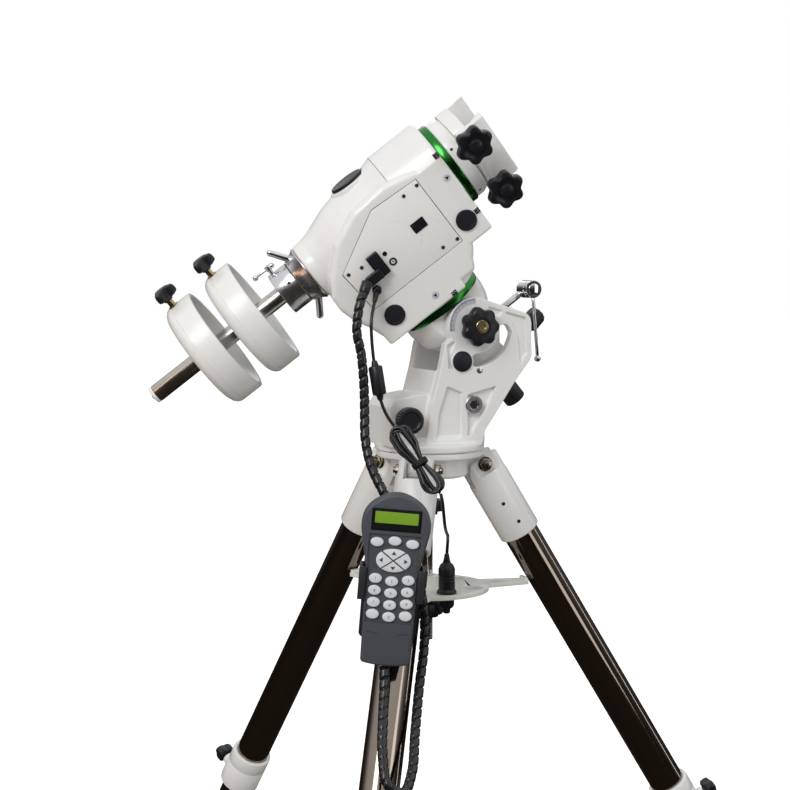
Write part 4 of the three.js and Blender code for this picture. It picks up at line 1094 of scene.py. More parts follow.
def legs():
    for number in (1, 2, 3):
        place = leg_frame(number)
        body = f"leg_{number}"
        sleeve = turned([
            (0, 9), (27, 9), (29.2, 7.4), (30, 5), (30, -117), (29.4, -118.4), (28.6, -119),
            (25.7, -119), (25.7, -36), (0, -36),
        ])
        lug_slot = block(-40, 40, -13.4, 13.4, -25.5, 30)
        flats = [block(-40, 40, *sorted((side * 23.2, side * 40)), -13, 30) for side in (1, -1)]
        head_room = moved(
            turned([(0, 790), (58, 790), (58, 836), (78, 836), (78, 900), (0, 900)]),
            turn("Y", LEG_SPLAY) @ shift(-LEG_PIN[0], 0, -LEG_PIN[2]),
        )
        socket = combined(sleeve, lug_slot, *flats, head_room)
        stand_in(f"leg_socket_{number}", socket, place, PAINT)
        for k, depth in enumerate((-62, -96)):
            spot = place @ shift(0, 0, depth) @ turn("Z", -105 + 12 * k) @ turn("Y", 90)
            # Each hole in the socket is a dark disc on its surface: painted shade.
            hole = pin(2.7, 28.6, 30.1, 32)
            piece(f"socket_hole_{number}_{k + 1}", hole, spot, body, SHADE_AND_MARK_BLACK)
        tube = turned([
            (23.8, TUBE_END), (24.8, TUBE_END), (25.4, TUBE_END + 0.6), (25.4, -37), (24.8, -36.4),
            (23.8, -36.4), (23.8, TUBE_END),
        ])
        stand_in(f"leg_tube_{number}", tube, place, TUBE_PAINTED_REFLECTION)
        clamp = turned([
            (25.7, -578), (29, -578), (30.6, -579), (31, -581), (31, -600), (30.4, -601), (31, -602),
            (31, -639), (30.4, -641.4), (29, -643), (22.6, -643), (22.6, -620.3), (25.7, -620.3),
            (25.7, -578),
        ])
        boss = moved(along_x(rod(9, 26, 40, 1.2)), shift(0, 0, LOCK_DEPTH))
        stand_in(f"leg_clamp_{number}", merged(clamp, boss), place, PAINT)
        grip = lobed([
            (0, 41), (6, 41), (6, 44), (13, 45), (15.6, 47), (16, 50), (16, 55), (14.5, 58), (0, 59),
        ], 3, 6, 1.1, 32)
        lock = axial(place @ shift(0, 0, LOCK_DEPTH))
        piece(f"leg_lock_{number}", merged(grip, rod(4, 38, 44)), lock, body, KNOB)
        low = 50 - LEG_LENGTH
        inner = turned([(20.4, low), (22, low), (22, -230), (20.4, -230), (20.4, low)], 80)
        stand_in(f"leg_extension_{number}", inner, place, TUBE_PAINTED_REFLECTION)
        end = -LEG_LENGTH
        cup = turned([
            (0, end - 12), (12, end - 12), (15, end - 6), (18.6, end + 8), (22, end + 22),
            (24.3, end + 37), (24.5, end + 40), (24.5, end + 48), (23.8, end + 49.7), (0, end + 49.7),
        ], 80)
        foot = merged(cup, turned([
            (0, end + 49), (20, end + 49), (20, end + 90), (19, end + 91), (0, end + 91),
        ], 48))
        normal = turn("Y", LEG_SPLAY) @ Vector((0, 0, 1))
        bmesh.ops.bisect_plane(
            foot, geom=[*foot.verts, *foot.edges, *foot.faces],
            plane_co=Vector((0, 0, end)), plane_no=-normal, clear_outer=True,
        )
        bmesh.ops.holes_fill(foot, edges=[e for e in foot.edges if e.is_boundary])
        stand_in(f"foot_{number}", foot, place, RUBBER)
    finished("handset_holder", 0.9, HOLDER_BLACK, 2)


# ---- azimuth fork


FORK_CAP = (24, 975)
FORK_BOLT = (42, 915)
FORK_SET_SCREW = (50, 962.6)
PIVOT_BORE = 8.4
SCREW_BORE = 4.4
PLATE_FACES = (45, 60)  # inner and outer face of a fork plate, from the middle


def fork():
    plate_outline = traced(
        (-30, 858), (-21, 916), (-8, 964), (-1, 1000),
        *circle(*PIVOT_XZ, 40, 205, 62, 40),
        (118, 1042), (128, 1038, 129, 1027), (130, 984), (130, 978, 126, 973), (104, 945), (84, 915),
        (60, 880), (54, 858),
    )
    pockets = [
        (((2, 941), (24, 932), (24, 868), (-14, 868), (-10, 905)), 5),
        (((33, 929), (76, 940), (62, 912), (36, 872), (33, 872)), 6),
        (((88, 1043), (120, 1034), (122, 985), (112, 970), (108, 1008), (98, 1030)), 4),
        (((62, 1050), (84, 1044), (80, 1036), (66, 1040)), 3),
        (((2, 997), (14, 1003), (8, 985), (14, 962), (4, 966)), 4),
    ]
    slot = [
        *circle(*PIVOT_XZ, 56, -86, -8, 36), *circle(87.5, 1016.4, 9, -8, 172, 12)[1:-1],
        *circle(*PIVOT_XZ, 38, -8, -86, 36), *circle(46.8, 976.1, 9, 94, 274, 12)[1:-1],
    ]
    plates = []
    inner, outer = PLATE_FACES
    for side in (-1, 1):
        def span(a, b):
            return sorted((side * a, side * b))

        tools = [upright(slot, *span(inner - 1, outer + 1))]
        tools += [upright(points, *span(outer - depth, outer + 1)) for points, depth in pockets]
        plates.append(combined(upright(plate_outline, *span(inner, outer)), *tools))
    flange = turned([(0, 850.3), (76, 850.3), (77, 851.3), (77, 859), (75, 862), (0, 862)], 128)
    north_wall = upright(
        [(-32, 860), (-22.5, 916), (-10, 962), (-5, 962), (-8, 940), (-12, 900), (-16, 860)], -47, 47
    )
    pedestal = prism(rounded_box(-48, 64, -58, 58, 14), 860, 872)
    foot = turned([(0, 858), (60, 858), (56, 868), (0, 868)])
    azimuth_block = upright(
        [(-76, 858), (-76, 912), (-68, 924), (-30, 930), (-20, 930), (-20, 858)], -45, 45
    )
    thread_bar = moved(along_y(pin(9.5, -47, 47, 48)), shift(101.7, 0, 1039.4))
    tools = [
        block(-70, -42, -32, 32, 840, 912),
        moved(along_y(pin(SCREW_BORE, -50, 50, 32)), shift(*AZIMUTH_SCREW)),
        moved(along_y(pin(PIVOT_BORE, -70, 70, 48)), shift(*PIVOT)),
        moved(pin(5.2, -90, 16, 32), shift(*ALTITUDE_HUB) @ turn("Y", ALTITUDE_SCREW_LEAN)),
    ]
    skin = cast(
        [*plates, flange, north_wall, pedestal, foot, azimuth_block, thread_bar], tools, 1.15, 4, 0.3
    )
    stand_in("fork_base", skin, MOUNT, CAST, sharp=50)


def fork_details():
    face = facing(MOUNT)
    strip = [*circle(*PIVOT_XZ, 38.6, 190, 90, 40), *circle(*PIVOT_XZ, 31, 90, 190, 40)]
    piece("latitude_scale", prism(strip, 59.6, 60.5, 0.15), face, "azimuth", LABEL)
    ticks = []
    for i in range(46):
        angle = 188 - 2.1 * i
        length = 4.6 if i % 5 == 0 else 2.6
        tick = block(38.2 - length, 38.2, -0.26, 0.26, 60.3, 60.62)
        ticks.append(moved(tick, shift(*PIVOT_XZ, 0) @ turn("Z", angle)))
    piece("latitude_ticks", merged(*ticks), face, "azimuth", SHADE_AND_MARK_BLACK)
    cap_place = face @ shift(*FORK_CAP, 0)
    rim = turned([
        (14.4, 59.2), (16.6, 59.2), (16.6, 60.4), (15.9, 60.9), (14.4, 60.9), (14.4, 59.2),
    ], 64)
    piece("fork_cap_rim", rim, cap_place, "azimuth", CAST)
    dome = turned([(0, 59), (14.2, 59), (14.2, 61.5), (13.4, 63), (10, 64.6), (5, 65.4), (0, 65.7)], 64)
    piece("fork_cap", dome, cap_place, "azimuth", CAP_RUBBER)
    screw = turned([(0, 52), (4.4, 52), (4.4, 60.6), (3.6, 61), (0, 61)], 40)
    piece("fork_set_screw", screw, face @ shift(*FORK_SET_SCREW, 0), "azimuth", SATIN)
    bolt = turned([(0, 53), (13, 53), (13, 60.5), (12, 61.6), (7.4, 61.6), (6.6, 59.8), (0, 59.8)], 64)
    bolt_place = face @ shift(*FORK_BOLT, 0)
    piece("fork_bolt", bolt, bolt_place, "azimuth", SATIN)
    # The hex socket is a dark hexagon laid in the head's recess: painted shade.
    piece("fork_bolt_socket", prism(hexagon(6.2), 59.4, 59.95), bolt_place, "azimuth", SHADE_AND_MARK_BLACK)


def fork_hardware():
    for number, side in enumerate((-1, 1), 1):
        lock = facing(MOUNT @ shift(*PIVOT), side)
        grip = lobed([
            (0, 61.4), (15, 61.4), (15, 65), (22, 66.5), (26, 68.4), (27.5, 71.5), (27.5, 79),
            (26.4, 82), (23, 84), (12.4, 84.4), (11.4, 83), (0, 82.4),
        ], 7, 4.2)
        knob = merged(grip, rod(8, 26, 62, 0.8))
        stand_in(f"altitude_lock_knob_{number}", knob, lock, KNOB)
        piece(f"lock_insert_{number}", turned([
            (0, 82), (9.3, 82), (9.3, 84.2), (8.7, 84.8), (4.6, 84.9), (4.2, 83.6), (0, 83.6),
        ], 48), lock, f"altitude_lock_{number}", BRASS)
        screw = facing(MOUNT @ shift(*AZIMUTH_SCREW), side)
        grip = lobed([
            (0, 60), (16.8, 60), (18, 60.8), (18.5, 62.2), (18.5, 75.8), (17.8, 77.4), (16.4, 78),
            (13, 78), (11, 76.2), (0, 76),
        ], 30, 0.9, 1, 6)
        stand_in(f"azimuth_knob_{number}", merged(grip, rod(4, 6.4, 62, 0.6)), screw, KNOB)
    hub_place = MOUNT @ shift(*ALTITUDE_HUB)
    threads = [
        turned([(4.5, z), (4.9, z + 0.7), (4.5, z + 1.4), (4.5, z)], 24) for z in range(-66, -14, 2)
    ]
    screw = moved(merged(rod(4.6, -68, -4, 0.8), *threads), turn("Y", ALTITUDE_SCREW_LEAN))
    hub = along_y(turned([
        (0, -17.6), (11, -17.6), (12.5, -16.2), (12.5, 4.6), (11.2, 6), (0, 6),
    ], 80))
    neck = along_y(rod(8, -28, -17, 1))
    stand_in("altitude_screw", merged(screw, hub, neck), hub_place, CHROME)
    eye = along_y(turned([
        (8.4, -26.5), (11.6, -26.5), (12.5, -25.4), (12.5, -19), (11.6, -18), (8.4, -18), (8.4, -26.5),
    ], 64))
    bar = moved(rod(2.4, -96, -11.5, 0.4), shift(0, -22, 0))
    handle = moved(merged(eye, bar, ball((0, -22, -99), 4.75)), turn("Y", -5))
    stand_in("altitude_handle", handle, hub_place, CHROME)


# ---- altitude body


def polar_housing():
    neck = turned([
        (0, -104), (25, -104), (27.4, -103), (29, -101), (31, -66), (39, -52), (39, 10), (0, 10),
    ])
    belly = turned([
        (0, -14), (30, -14), (46, -8), (56, 4), (60, 18), (62, 30), (62, 41.7), (0, 41.7),
    ], 128)
    cheeks = along_y(pin(36, -44.2, 44.2))
    envelope = upright([
        (-80, 42), (-80, -120), (31, -120), (31, -66), (21, -46), (26, -36), (34, -20), (34, -2),
        (48, 8), (62, 25), (80, 42),
    ], -44.2, 44.2)
    parts = [combined(part, envelope.copy(), how="INTERSECT") for part in (neck, belly, cheeks)]
    envelope.free()
    clutch = shift(0, 0, RA_CLUTCH_HEIGHT) @ turn("Z", RA_CLUTCH_TURN)
    tools = [
        pin(31, 12, 60), along_y(pin(PIVOT_BORE, -50, 50, 48)), pin(14, -115, -84, 64),
        moved(along_x(pin(5.4, 24, 70, 32)), clutch),
    ]
    stand_in("polar_housing", cast(parts, tools, 1.15, 4, 0.35), ALTITUDE, CAST, sharp=50)
    ring_mesh = merged(
        ring_band(30.6, 62, 42, 53, 0.9, 160), ring_band(50, 62.35, 45.2, 46, 0.2, 160),
    )
    stand_in("ra_ring", ring_mesh, ALTITUDE, GREEN)
    knob = moved(merged(
        lobed([
            (0, 103), (12.6, 103), (13.6, 103.7), (14, 105), (14, 124), (13.4, 125.4), (12, 126),
            (7, 126), (6, 125.2), (0, 125.2),
        ], 12, 0.9, 1, 10),
        rod(5, 26, 104, 0.5), rod(8.5, 90, 105, 0.8),
    ), turn("Y", 90))
    stand_in("ra_clutch_knob", knob, ALTITUDE @ clutch, KNOB)
    eyepiece = merged(
        turned([(0, -112), (13.4, -112), (13.4, -86.4), (12.8, -86), (0, -86)], 64),
        lobed([
            (0, -141), (13.6, -141), (15, -140.2), (15.5, -138.6), (15.5, -120), (15.5, -107),
            (14.8, -105.4), (0, -105),
        ], 28, 0.5, 1, 6),
    )
    stand_in("polar_scope", eyepiece, ALTITUDE, KNOB)


# ---- RA body

PANEL = [(73, 25), (1, 29), (-82, -16), (-77.5, -80.5), (73.5, -80.5)]
PANEL_SCREWS = [(69, 17.5), (46.7, 17), (69, -74), (47, -71), (-75.5, -20.7), (-55.7, -24)]
SWITCH_AT = (39.5, -26.6)
SWITCH_WINDOW = (30.7, 48.3, -32.4, -20.8)
RING_CLIPS = [(112.5, 33, 0), (112.5, -60, 0), (22, -131, 90)]
WORM_CAPS = [(93.7, -61.5), (-60, -103.5)]
INDEX_MARKS = [(107, 0.3, -90), (-0.3, -117, 180)]


def dec_housing():
    bell = along_x(turned([
        (0, -116), (40, -116), (41.2, -114), (41.6, -112), (42.5, -100), (46, -86), (52, -70),
        (58.5, -52), (63, -32), (65.5, -8), (67, 14), (70, 28), (74, 42), (74, 114.6), (72, 117.6),
        (0, 117.6),
    ], 160))
    bell = combined(bell, block(-130, 130, -69, 69, -80, 80), how="INTERSECT")
    body = upright([
        (84, 34), (30, 46), (-20, 42), (-66, 22), (-100, -12), (-113, -34), (-114, -55), (-109, -74),
        (-98, -98), (-88, -126), (64, -126), (70, -112), (84, -94),
    ], -70, 70, 8.5, 5)
    south = upright([(60, 30), (116.6, 30), (116.6, -92), (60, -92)], -70, 70, 3, 3)
    north = upright([(-89, -134.7), (-91, -100), (-40, -92), (40, -92), (40, -134.7)], -70, 70, 3, 3)
    drum = turned([(0, -136.7), (64, -136.7), (66, -134.7), (69, -122), (69, -80), (0, -80)], 128)
    boss = turned([(0, 30), (31, 30), (29, 66), (0, 66)])
    skin = cast(
        [bell, body, south, north, drum, boss],
        [
            along_x(pin(22.7, -118, 120)),
            turned([(0, 60), (20, 60), (20, 66), (27, 66), (27, 80), (0, 80)], 64),
            upright(spread(PANEL, 0.6), -71, -67.6),
            block(*SWITCH_WINDOW[:2], -71, -58, *SWITCH_WINDOW[2:]),
        ],
        1.2, 5, 0.3,
    )
    stand_in("dec_housing", merged(skin, pin(30, -176, -136)), RA, CAST, sharp=50)


def panel():
    face = facing(RA)
    plate = combined(
        prism(spread(PANEL, -0.5), 68, 70, 0.5, 2), block(*SWITCH_WINDOW, 60, 75)
    )
    stand_in("control_panel", plate, face, PAINT)
    # A dark sheet at the foot of the gap round the panel: painted shade in the gap.
    piece("panel_gap", prism(spread(PANEL, 0.5), 67.4, 67.9), face, "ra", SHADE_AND_MARK_BLACK)
    for i, (x, z) in enumerate(PANEL_SCREWS):
        spot = face @ shift(x, z, 70) @ turn("Z", 20 * i)
        piece(f"panel_screw_{i + 1}", screw_head(2.9, 1.1), spot, "ra", SATIN)
        # Each screw's cross slot is a dark inlay: painted shade.
        piece(f"panel_screw_cross_{i + 1}", cross_inlay(2.9, 1.1), spot, "ra", SHADE_AND_MARK_BLACK)
    x, z = SWITCH_AT
    frame_ring = combined(
        prism(rounded_box(x - 10.4, x + 10.4, z - 7.2, z + 7.2, 1.2), 69.4, 71.2, 0.4, 2),
        block(x - 8.7, x + 8.7, z - 5.6, z + 5.6, 60, 75),
    )
    piece("switch_frame", frame_ring, face, "ra", KNOB)
    rocker = prism([
        (-8.1, -6), (-8.1, 1.2), (0, -0.8), (8.1, 1.2), (8.1, -6), (2, -8.5), (-2, -8.5),
    ], -5.2, 5.2, 0.5)
    stand_in("power_switch", moved(rocker, turn("X", 90)), face @ shift(x, z, 70), KNOB)
    lamp = turned([(0, 69.4), (3.2, 69.4), (3.2, 70.5), (2.4, 70.8), (1.9, 70.2), (0, 70.4)], 40)
    piece("led_bezel", lamp, face @ shift(-20, -28.6, 0), "ra", BEZEL)
    jack = turned([
        (0, 69.2), (5.4, 69.2), (5.4, 70.8), (4.6, 71.4), (3.4, 71.4), (3, 69.8), (1, 69.8), (0.8, 71),
        (0, 71.2),
    ], 48)
    piece("spare_jack", jack, face @ shift(-17.5, -44, 0), "ra", BEZEL)
    for i, (x, z) in enumerate(WORM_CAPS):
        cap = turned([
            (0, 69), (14.4, 69), (14.4, 71.8), (13.8, 72.8), (11, 73.2), (10.4, 72.6), (4, 72.9),
            (0, 73),
        ], 72)
        piece(f"worm_cap_{i + 1}", cap, face @ shift(x, z, 0), "ra", CAP_RUBBER)
    for i, (x, z, angle) in enumerate(INDEX_MARKS):
        spot = face @ shift(x, z, 0) @ turn("Z", angle)
        disc = turned([(0, 68.6), (5.2, 68.6), (5.2, 70.3), (4.8, 70.6), (0, 70.6)], 48)
        arrow = prism([(0, 3.4), (-2.6, -1.6), (2.6, -1.6)], 70.4, 70.8)
        piece(f"index_disc_{i + 1}", disc, spot, "ra", LABEL)
        piece(f"index_arrow_{i + 1}", arrow, spot, "ra", SHADE_AND_MARK_BLACK)
    for i, (x, z, angle) in enumerate(RING_CLIPS):
        spot = face @ shift(x, z, 70) @ turn("Z", angle)
        rivets = [moved(rod(1.5, 0, 1.9, 0.3), shift(0.4, y, 0)) for y in (2, -2)]
        clip = merged(block(-3.4, 4.2, -4.2, 4.2, -1, 0.9, 0.35), *rivets)
        piece(f"ring_clip_{i + 1}", clip, spot, "ra", SATIN)
    # A dark band where the housing's halves meet: painted shade in the seam.
    seam = combined(
        along_x(ring_band(70, 74.08, 41.4, 42.0, 0.05, 160)), block(-130, 130, -69, 69, -30, 80),
        how="INTERSECT",
    )
    piece("housing_seam", seam, RA, "ra", SHADE_AND_MARK_BLACK)
    lid = merged(
        pin(19.6, 61, 67, 64),
        turned([
            (0, 66.4), (24.4, 66.4), (25, 67), (25, 69), (24, 70.2), (22, 70.5), (21, 70), (0, 69.8),
        ]),
    )
    stand_in("polar_cap", lid, RA, KNOB)


# ---- declination body


def saddle_side():
    band = merged(ring_band(22.6, 62, 118, 129, 0.9, 160), ring_band(50, 62.35, 125, 125.8, 0.2, 160))
    stand_in("dec_ring", band, axial(DEC), GREEN)
    collar = turned([
        (22, -136), (22, 129.3), (59, 129.3), (60, 130.3), (60, 140), (59.4, 141.6), (56.6, 147.8),
        (55.4, 148.6), (13.1, 148.6), (13.1, -136), (22, -136),
    ], 160)
    stand_in("dec_shaft", collar, axial(DEC), PAINT)
    # Each screw hole in the collar is a dark dot: painted shade.
    for i, angle in enumerate((52, 128)):
        piece(f"collar_hole_shade_{i + 1}", pin(2.1, 58, 60.1, 32),
              DEC @ shift(135.4, 0, 0) @ turn("X", angle), "dec", SHADE_AND_MARK_BLACK)
    finished("saddle_body", 1.3, PAINT, 3)
    finished("saddle_jaw", 0.8, PAINT, 2)
    for number, z in enumerate((40, -40), 1):
        place = facing(DEC @ shift(160, 0, z))
        grip = lobed([
            (0, 71), (13, 71), (13, 75.4), (20, 76), (24.6, 77.6), (26.5, 80.6), (26.5, 87.6),
            (25.4, 90.6), (22, 92), (18.6, 92), (16.6, 91), (10.4, 90.2), (10.1, 93.4), (9, 95.2),
            (5.4, 96.8), (0, 97.4),
        ], 6, 5.5, 1.2, 20)
        stand_in(f"saddle_knob_{number}", merged(grip, rod(4, 20, 72, 0.5)), place, KNOB)


def shaft_side():
    body = turned([
        (22.7, -135.7), (32.2, -135.7), (33, -135.2), (34, -132), (37, -124), (40.6, -118.6),
        (41, -117.6), (41, -116.8), (40.6, -116.5), (22.7, -116.5), (22.7, -135.7),
    ], 128)
    stand_in("dec_clutch_ring", body, axial(RA), SATIN)
    for i, side in enumerate((1, -1)):
        lever = merged(rod(4.8, -6, 30, 0.4), ball((0, 0, 29.6), 4.8))
        place = RA @ turn("X", 0 if side > 0 else 180) @ shift(-126, 0, 31) @ turn("Y", -34)
        piece(f"clutch_lever_{i + 1}", lever, place, "dec_clutch", CHROME)
    holder = turned([
        (12.9, -166), (30.3, -166), (31, -165.7), (31.3, -165), (31.3, -137), (30.8, -136.4),
        (12.9, -136.3), (12.9, -166),
    ], 128)
    stand_in("shaft_holder", holder, axial(RA), SATIN)
    # A dark ring at the joint of holder and housing: painted shade in the gap.
    gap = turned([(13, -137.6), (31.36, -137.6), (31.36, -137), (13, -137), (13, -137.6)], 128)
    piece("holder_gap", gap, axial(RA), "dec", SHADE_AND_MARK_BLACK)
    # A dark disc for the pin hole: painted shade.
    piece("holder_pin_hole", pin(2.2, 29, 31.4, 32),
          facing(RA @ shift(-147, 0, 0)) @ turn("X", -24), "dec", SHADE_AND_MARK_BLACK)
    lock = RA @ shift(-158, 0, 0)
    t_bar = merged(
        rod(3, 13.1, 41, 0.4), rod(4.6, 37.5, 44.5, 0.9),
        moved(along_x(rod(1.6, -22, 6, 0.2, segments=32)), shift(0, 0, 41)),
        ball((-22, 0, 41), 3.9), ball((6, 0, 41), 3.9),
    )
    stand_in("shaft_lock", t_bar, lock, CHROME)
    shaft = rod(12.5, -388, -110, 0.9, segments=96)
    stand_in("counterweight_shaft", shaft, axial(RA), SHAFT_STEEL)
    end_cap = turned([
        (0, -393), (10.4, -393), (11.6, -392.6), (12, -391.6), (12, -388), (0, -388),
    ], 72)
    piece("shaft_end_cap", end_cap, axial(RA), "counterweight_shaft", PAINT)
    piece("shaft_end_screw", turned([(0, -394), (3, -394), (3.4, -393.6), (3.4, -392), (0, -392)], 32),
          axial(RA) @ shift(0, -6.2, 0), "counterweight_shaft", SHADE_AND_MARK_BLACK)


WEIGHT_FACES = (-198, -265)
WEIGHT_DEPTH = 46


def weights():
    for number, face in enumerate(WEIGHT_FACES, 1):
        back = face - WEIGHT_DEPTH
        place = axial(RA)
        disc = turned([
            (12.9, back), (64, back), (70, back + 0.8), (75, back + 3), (78.6, back + 6.4),
            (80.4, back + 10), (81, back + 14), (81, back + 15.5), (80.3, back + 15.9),
            (81, back + 16.3), (81, face - 2.4), (80.5, face - 0.8), (79.2, face), (75.6, face),
            (74.4, face - 0.5), (72, face - 4), (50, face - 17), (26, face - 20), (24.2, face - 20),
            (22.8, face - 19), (22, face - 15.6), (21.4, face - 15), (12.9, face - 15), (12.9, back),
        ], 192)
        stand_in(f"counterweight_{number}", disc, place, WEIGHT_PAINT)
        # Dark blocks in the hub's bore stand in for its slot: painted shade.
        for k, side in enumerate((1, -1)):
            notch = block(12.4, 20.5, -3.4, 3.4, face - 15.4, face - 14.85)
            piece(f"weight_notch_{number}_{k + 1}", notch, place @ turn("Z", 62 * side + 110),
                  f"counterweight_{number}", SHADE_AND_MARK_BLACK)
        knob_place = RA @ shift(face - 26, 0, 0)
        grip = lobed([
            (0, 91), (6.6, 91), (7.4, 93), (13, 94), (17.4, 96), (18.5, 98.6), (18.3, 104),
            (16.6, 107.6), (10, 110), (0, 111),
        ], 3, 9.5, 0.9, 36)
        stand_in(f"weight_knob_{number}", grip, knob_place, KNOB)
        piece(f"weight_stem_{number}", merged(
            rod(4.7, 60, 93, 0.4), pin(7, 80.8, 82.4, 40),
        ), knob_place, f"weight_knob_{number}", BRASS)


# ---- hand controller

DISPLAY_Z = 78
MENU_KEYS = [(-22, 48), (0, 50.5), (22, 48)]
ARROW_CENTRE = 26
NUMBER_ROWS = [2.5, -12.5, -27.5, -42.5]
NUMBER_COLUMNS = [-20.5, 0, 20.5]
MIDDLE_COLUMN_DROP = 2.5
KEY_HEIGHT = 18.3
HANDSET_FACE = 16.5


def handset_outline(inset=0.0):
    head, waist, foot = 45 - inset, 33 - inset, 31 - inset
    top, bottom = 108 - inset, -108 + inset
    return traced(
        (-foot, bottom + 4), (0, bottom - 3, foot, bottom + 4), (waist, 10),
        (36 - inset, 30, head - 3, 58), (head + 2, 82, 30 - inset, top - 12), (14, top, 0, top),
        (-14, top, -30 + inset, top - 12), (-head - 2, 82, -head + 3, 58),
        (-36 + inset, 30, -waist, 10),
    )


def numeral(figure, height, thickness):
    """A digit standing on Z = 0, centred on the origin."""
    curve = bpy.data.curves.new("numeral", "FONT")
    curve.body = figure
    curve.size = height
    curve.align_x = "CENTER"
    curve.align_y = "CENTER"
    curve.extrude = thickness / 2
    made = linked("numeral", curve)
    bpy.context.view_layer.update()
    bm = bmesh.new()
    bm.from_mesh(made.evaluated_get(bpy.context.evaluated_depsgraph_get()).to_mesh())
    bpy.data.objects.remove(made)
    bpy.data.curves.remove(curve)
    return bm


def key_top(x, y, width, height, low=13.3, high=KEY_HEIGHT):
    dome = turned([
        (0, low), (1, low), (1, high - 1.2), (0.93, high - 0.5), (0.75, high - 0.12), (0, high),
    ], 40)
    dome = moved(dome, Matrix.Diagonal((width, height, 1, 1)))
    return moved(dome, shift(x, y, 0))


def number_keys():
    """Place and digit of each number key, row by row; the outer keys of the last row have none."""
    digits = iter([*"123456789", "", "0", ""])
    for y in NUMBER_ROWS:
        for x in NUMBER_COLUMNS:
            yield x, y - (MIDDLE_COLUMN_DROP if x == 0 else 0), next(digits)


def handset():
    face = facing(HANDSET)
    keypad_outline = [
        (-29.5, -53), (29.5, -53), (30.5, 8), (32.5, 32), (32.5, 58), (-32.5, 58), (-32.5, 32),
        (-30.5, 8),
    ]
    shell = combined(
        prism(handset_outline(), -HANDSET_FACE, HANDSET_FACE, 3.6, 6, 50),
        block(-31, 31, DISPLAY_Z - 16, DISPLAY_Z + 12, 11.5, 20),
        prism(keypad_outline, 11.5, 20),
    )
    stand_in("handset_body", shell, face, HANDSET_GREY, sharp=40)
    # A dark sheet where the shell's halves meet: painted shade in the seam.
    seam = prism(handset_outline(-0.12), -1.2, -0.6)
    piece("handset_seam", seam, face, "handset", SHADE_AND_MARK_BLACK)
    bezel = prism(rounded_box(-30.8, 30.8, DISPLAY_Z - 15.8, DISPLAY_Z + 11.8, 2.4), 12, 14.9, 0.5)
    piece("display_bezel", bezel, face, "handset", BEZEL)
    glass = prism(rounded_box(-27, 27, DISPLAY_Z - 6.5, DISPLAY_Z + 8, 1), 14.4, 15.2, 0.2)
    piece("display_glass", glass, face, "handset", LCD)
    inset = [(x * 0.985, y) for x, y in keypad_outline]
    keys = [prism(inset, 12.6, 13.9)]
    keys += [key_top(x, y, 8, 5.6) for x, y in MENU_KEYS]
    keys += [key_top(x, y, 8, 6) for x, y, _ in number_keys()]
    grooves = [
        moved(block(-30, 30, -0.9, 0.9, 13.9, 20), shift(0, ARROW_CENTRE, 0) @ turn("Z", angle))
        for angle in (36, -36)
    ]
    pad = combined(key_top(0, ARROW_CENTRE, 21.5, 14.5, 13.5, 18.4), *grooves)
    stand_in("handset_keypad", merged(*keys, pad), face, KEY_WHITE, sharp=40)
    sheet = [(x * 0.98, y) for x, y in keypad_outline]
    piece("keypad_sheet", prism(sheet, 13.6, 14.05), face, "keypad", HANDSET_GREY)
    arrows = []
    for angle, reach in ((0, 15), (90, 9), (180, 15), (270, 9)):
        arrow = prism([(reach + 2.8, 0), (reach - 1.6, 3), (reach - 1.6, -3)], 18, 18.44)
        arrows.append(moved(arrow, shift(0, ARROW_CENTRE, 0) @ turn("Z", angle)))
    piece("arrow_marks", merged(*arrows), face, "keypad", KEY_PRINT)
    digits = [
        moved(numeral(digit, 5.2, 0.12), shift(x, y, KEY_HEIGHT))
        for x, y, digit in number_keys() if digit
    ]
    piece("key_numerals", merged(*digits), face, "keypad", KEY_PRINT)
    # Dark strips for the grip's grooves: painted shade.
    for end, side in (("right", 1), ("left", -1)):
        groove = block(-7, 7, -0.35, 0.35, 16.2, 16.56)
        spot = face @ shift(side * 19, -66, 0) @ turn("Z", side * 9)
        piece(f"grip_groove_{end}", groove, spot, "handset", SHADE_AND_MARK_BLACK)


# ---- plugs


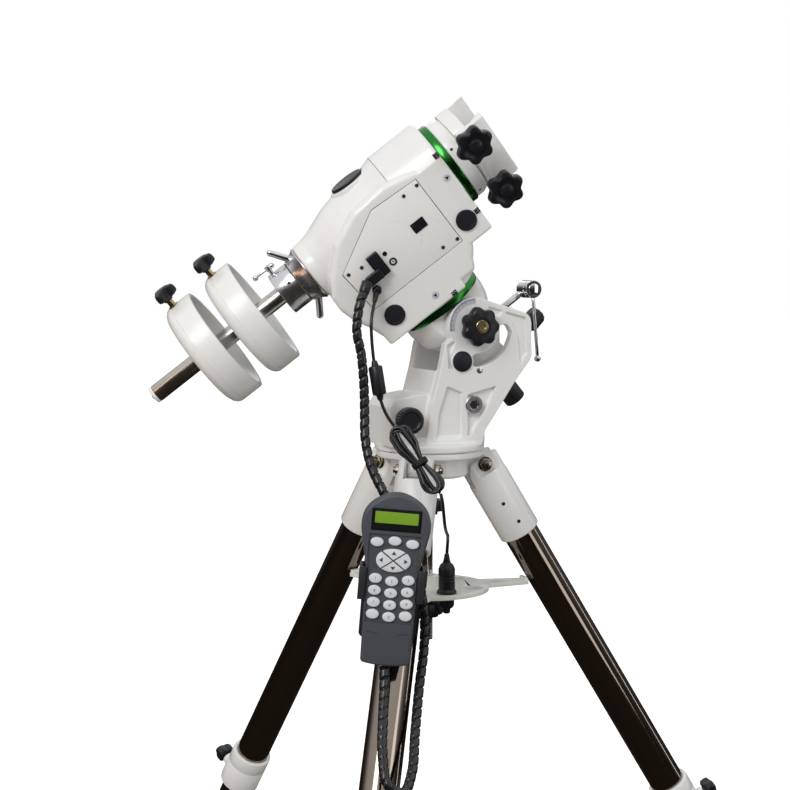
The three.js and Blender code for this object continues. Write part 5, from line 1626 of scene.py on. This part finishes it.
def handset_plug():
    face = facing(RA)
    boot = MOUNT @ between((-117.3, -68.7, 1083.6), (-123.8, -71.9, 1069.4))
    shell = merged(
        moved(prism(rounded_box(-45, -27, -51, -17, 2.4), 70.3, 79.3, 1), face),
        moved(prism(rounded_box(-62, -38, -50, -36, 2), 78.6, 87.3, 1.2), face),
        moved(rod(7.5, 0, 15.8, 0.8, 6.9), boot),
    )
    return stand_in("handset_cord_plug", shell, AS_IS, KNOB)


def power_connector():
    face = facing(RA @ shift(-58, 0, -60))
    relief = MOUNT @ between((-102.8, -62.8, 1068.4), (-106.8, -67.3, 1057.5))
    shell = merged(
        moved(prism(hexagon(6.9), 70.3, 77.3, 0.8), face),
        moved(rod(4.5, 76.3, 86.3, 0.7), face),
        moved(rod(4.4, -1, 12.5, 0.5, 3), relief),
        *[moved(turned([(3, z), (4.3 - 0.1 * z, z + 0.6), (3, z + 1.2), (3, z)], 24), relief)
          for z in (2, 4.5, 7)],
    )
    return piece("power_connector_skin", shell, AS_IS, "ra", KNOB, ["power_cord_connector"])


def power_plug():
    body = turned([
        (0, 628), (3.4, 628), (4.6, 628.8), (5, 630), (5, 634), (9, 637), (10.5, 640), (10.5, 656.4),
        (13.2, 656.4), (13.8, 657), (13.8, 658.6), (11.5, 662), (11.5, 674), (10.9, 674.6), (10.9, 676),
        (11.5, 676.6), (11.5, 678), (10.9, 678.6), (10.9, 680), (11.5, 680.6), (11.5, 690), (9, 696),
        (5.4, 699), (5.4, 701), (4.4, 701.4), (4.4, 703), (4.6, 703.4), (3.9, 706), (3, 711), (0, 711),
    ], 72)
    return stand_in("power_plug", body, MOUNT @ shift(0, -64, 0), KNOB)


# ---- assembly

make_camera()
make_stage()
handset_cord(handset_plug())
power_cords(power_connector(), power_plug())
tripod_head()
central_parts()
legs()
fork()
fork_details()
fork_hardware()
polar_housing()
dec_housing()
panel()
saddle_side()
shaft_side()
weights()
handset()

low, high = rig.bounds()
with open("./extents.json", "w") as report:
    json.dump({
        "cad": [list(cad_low), list(cad_high)], "visual": [list(low), list(high)],
    }, report, indent=1)
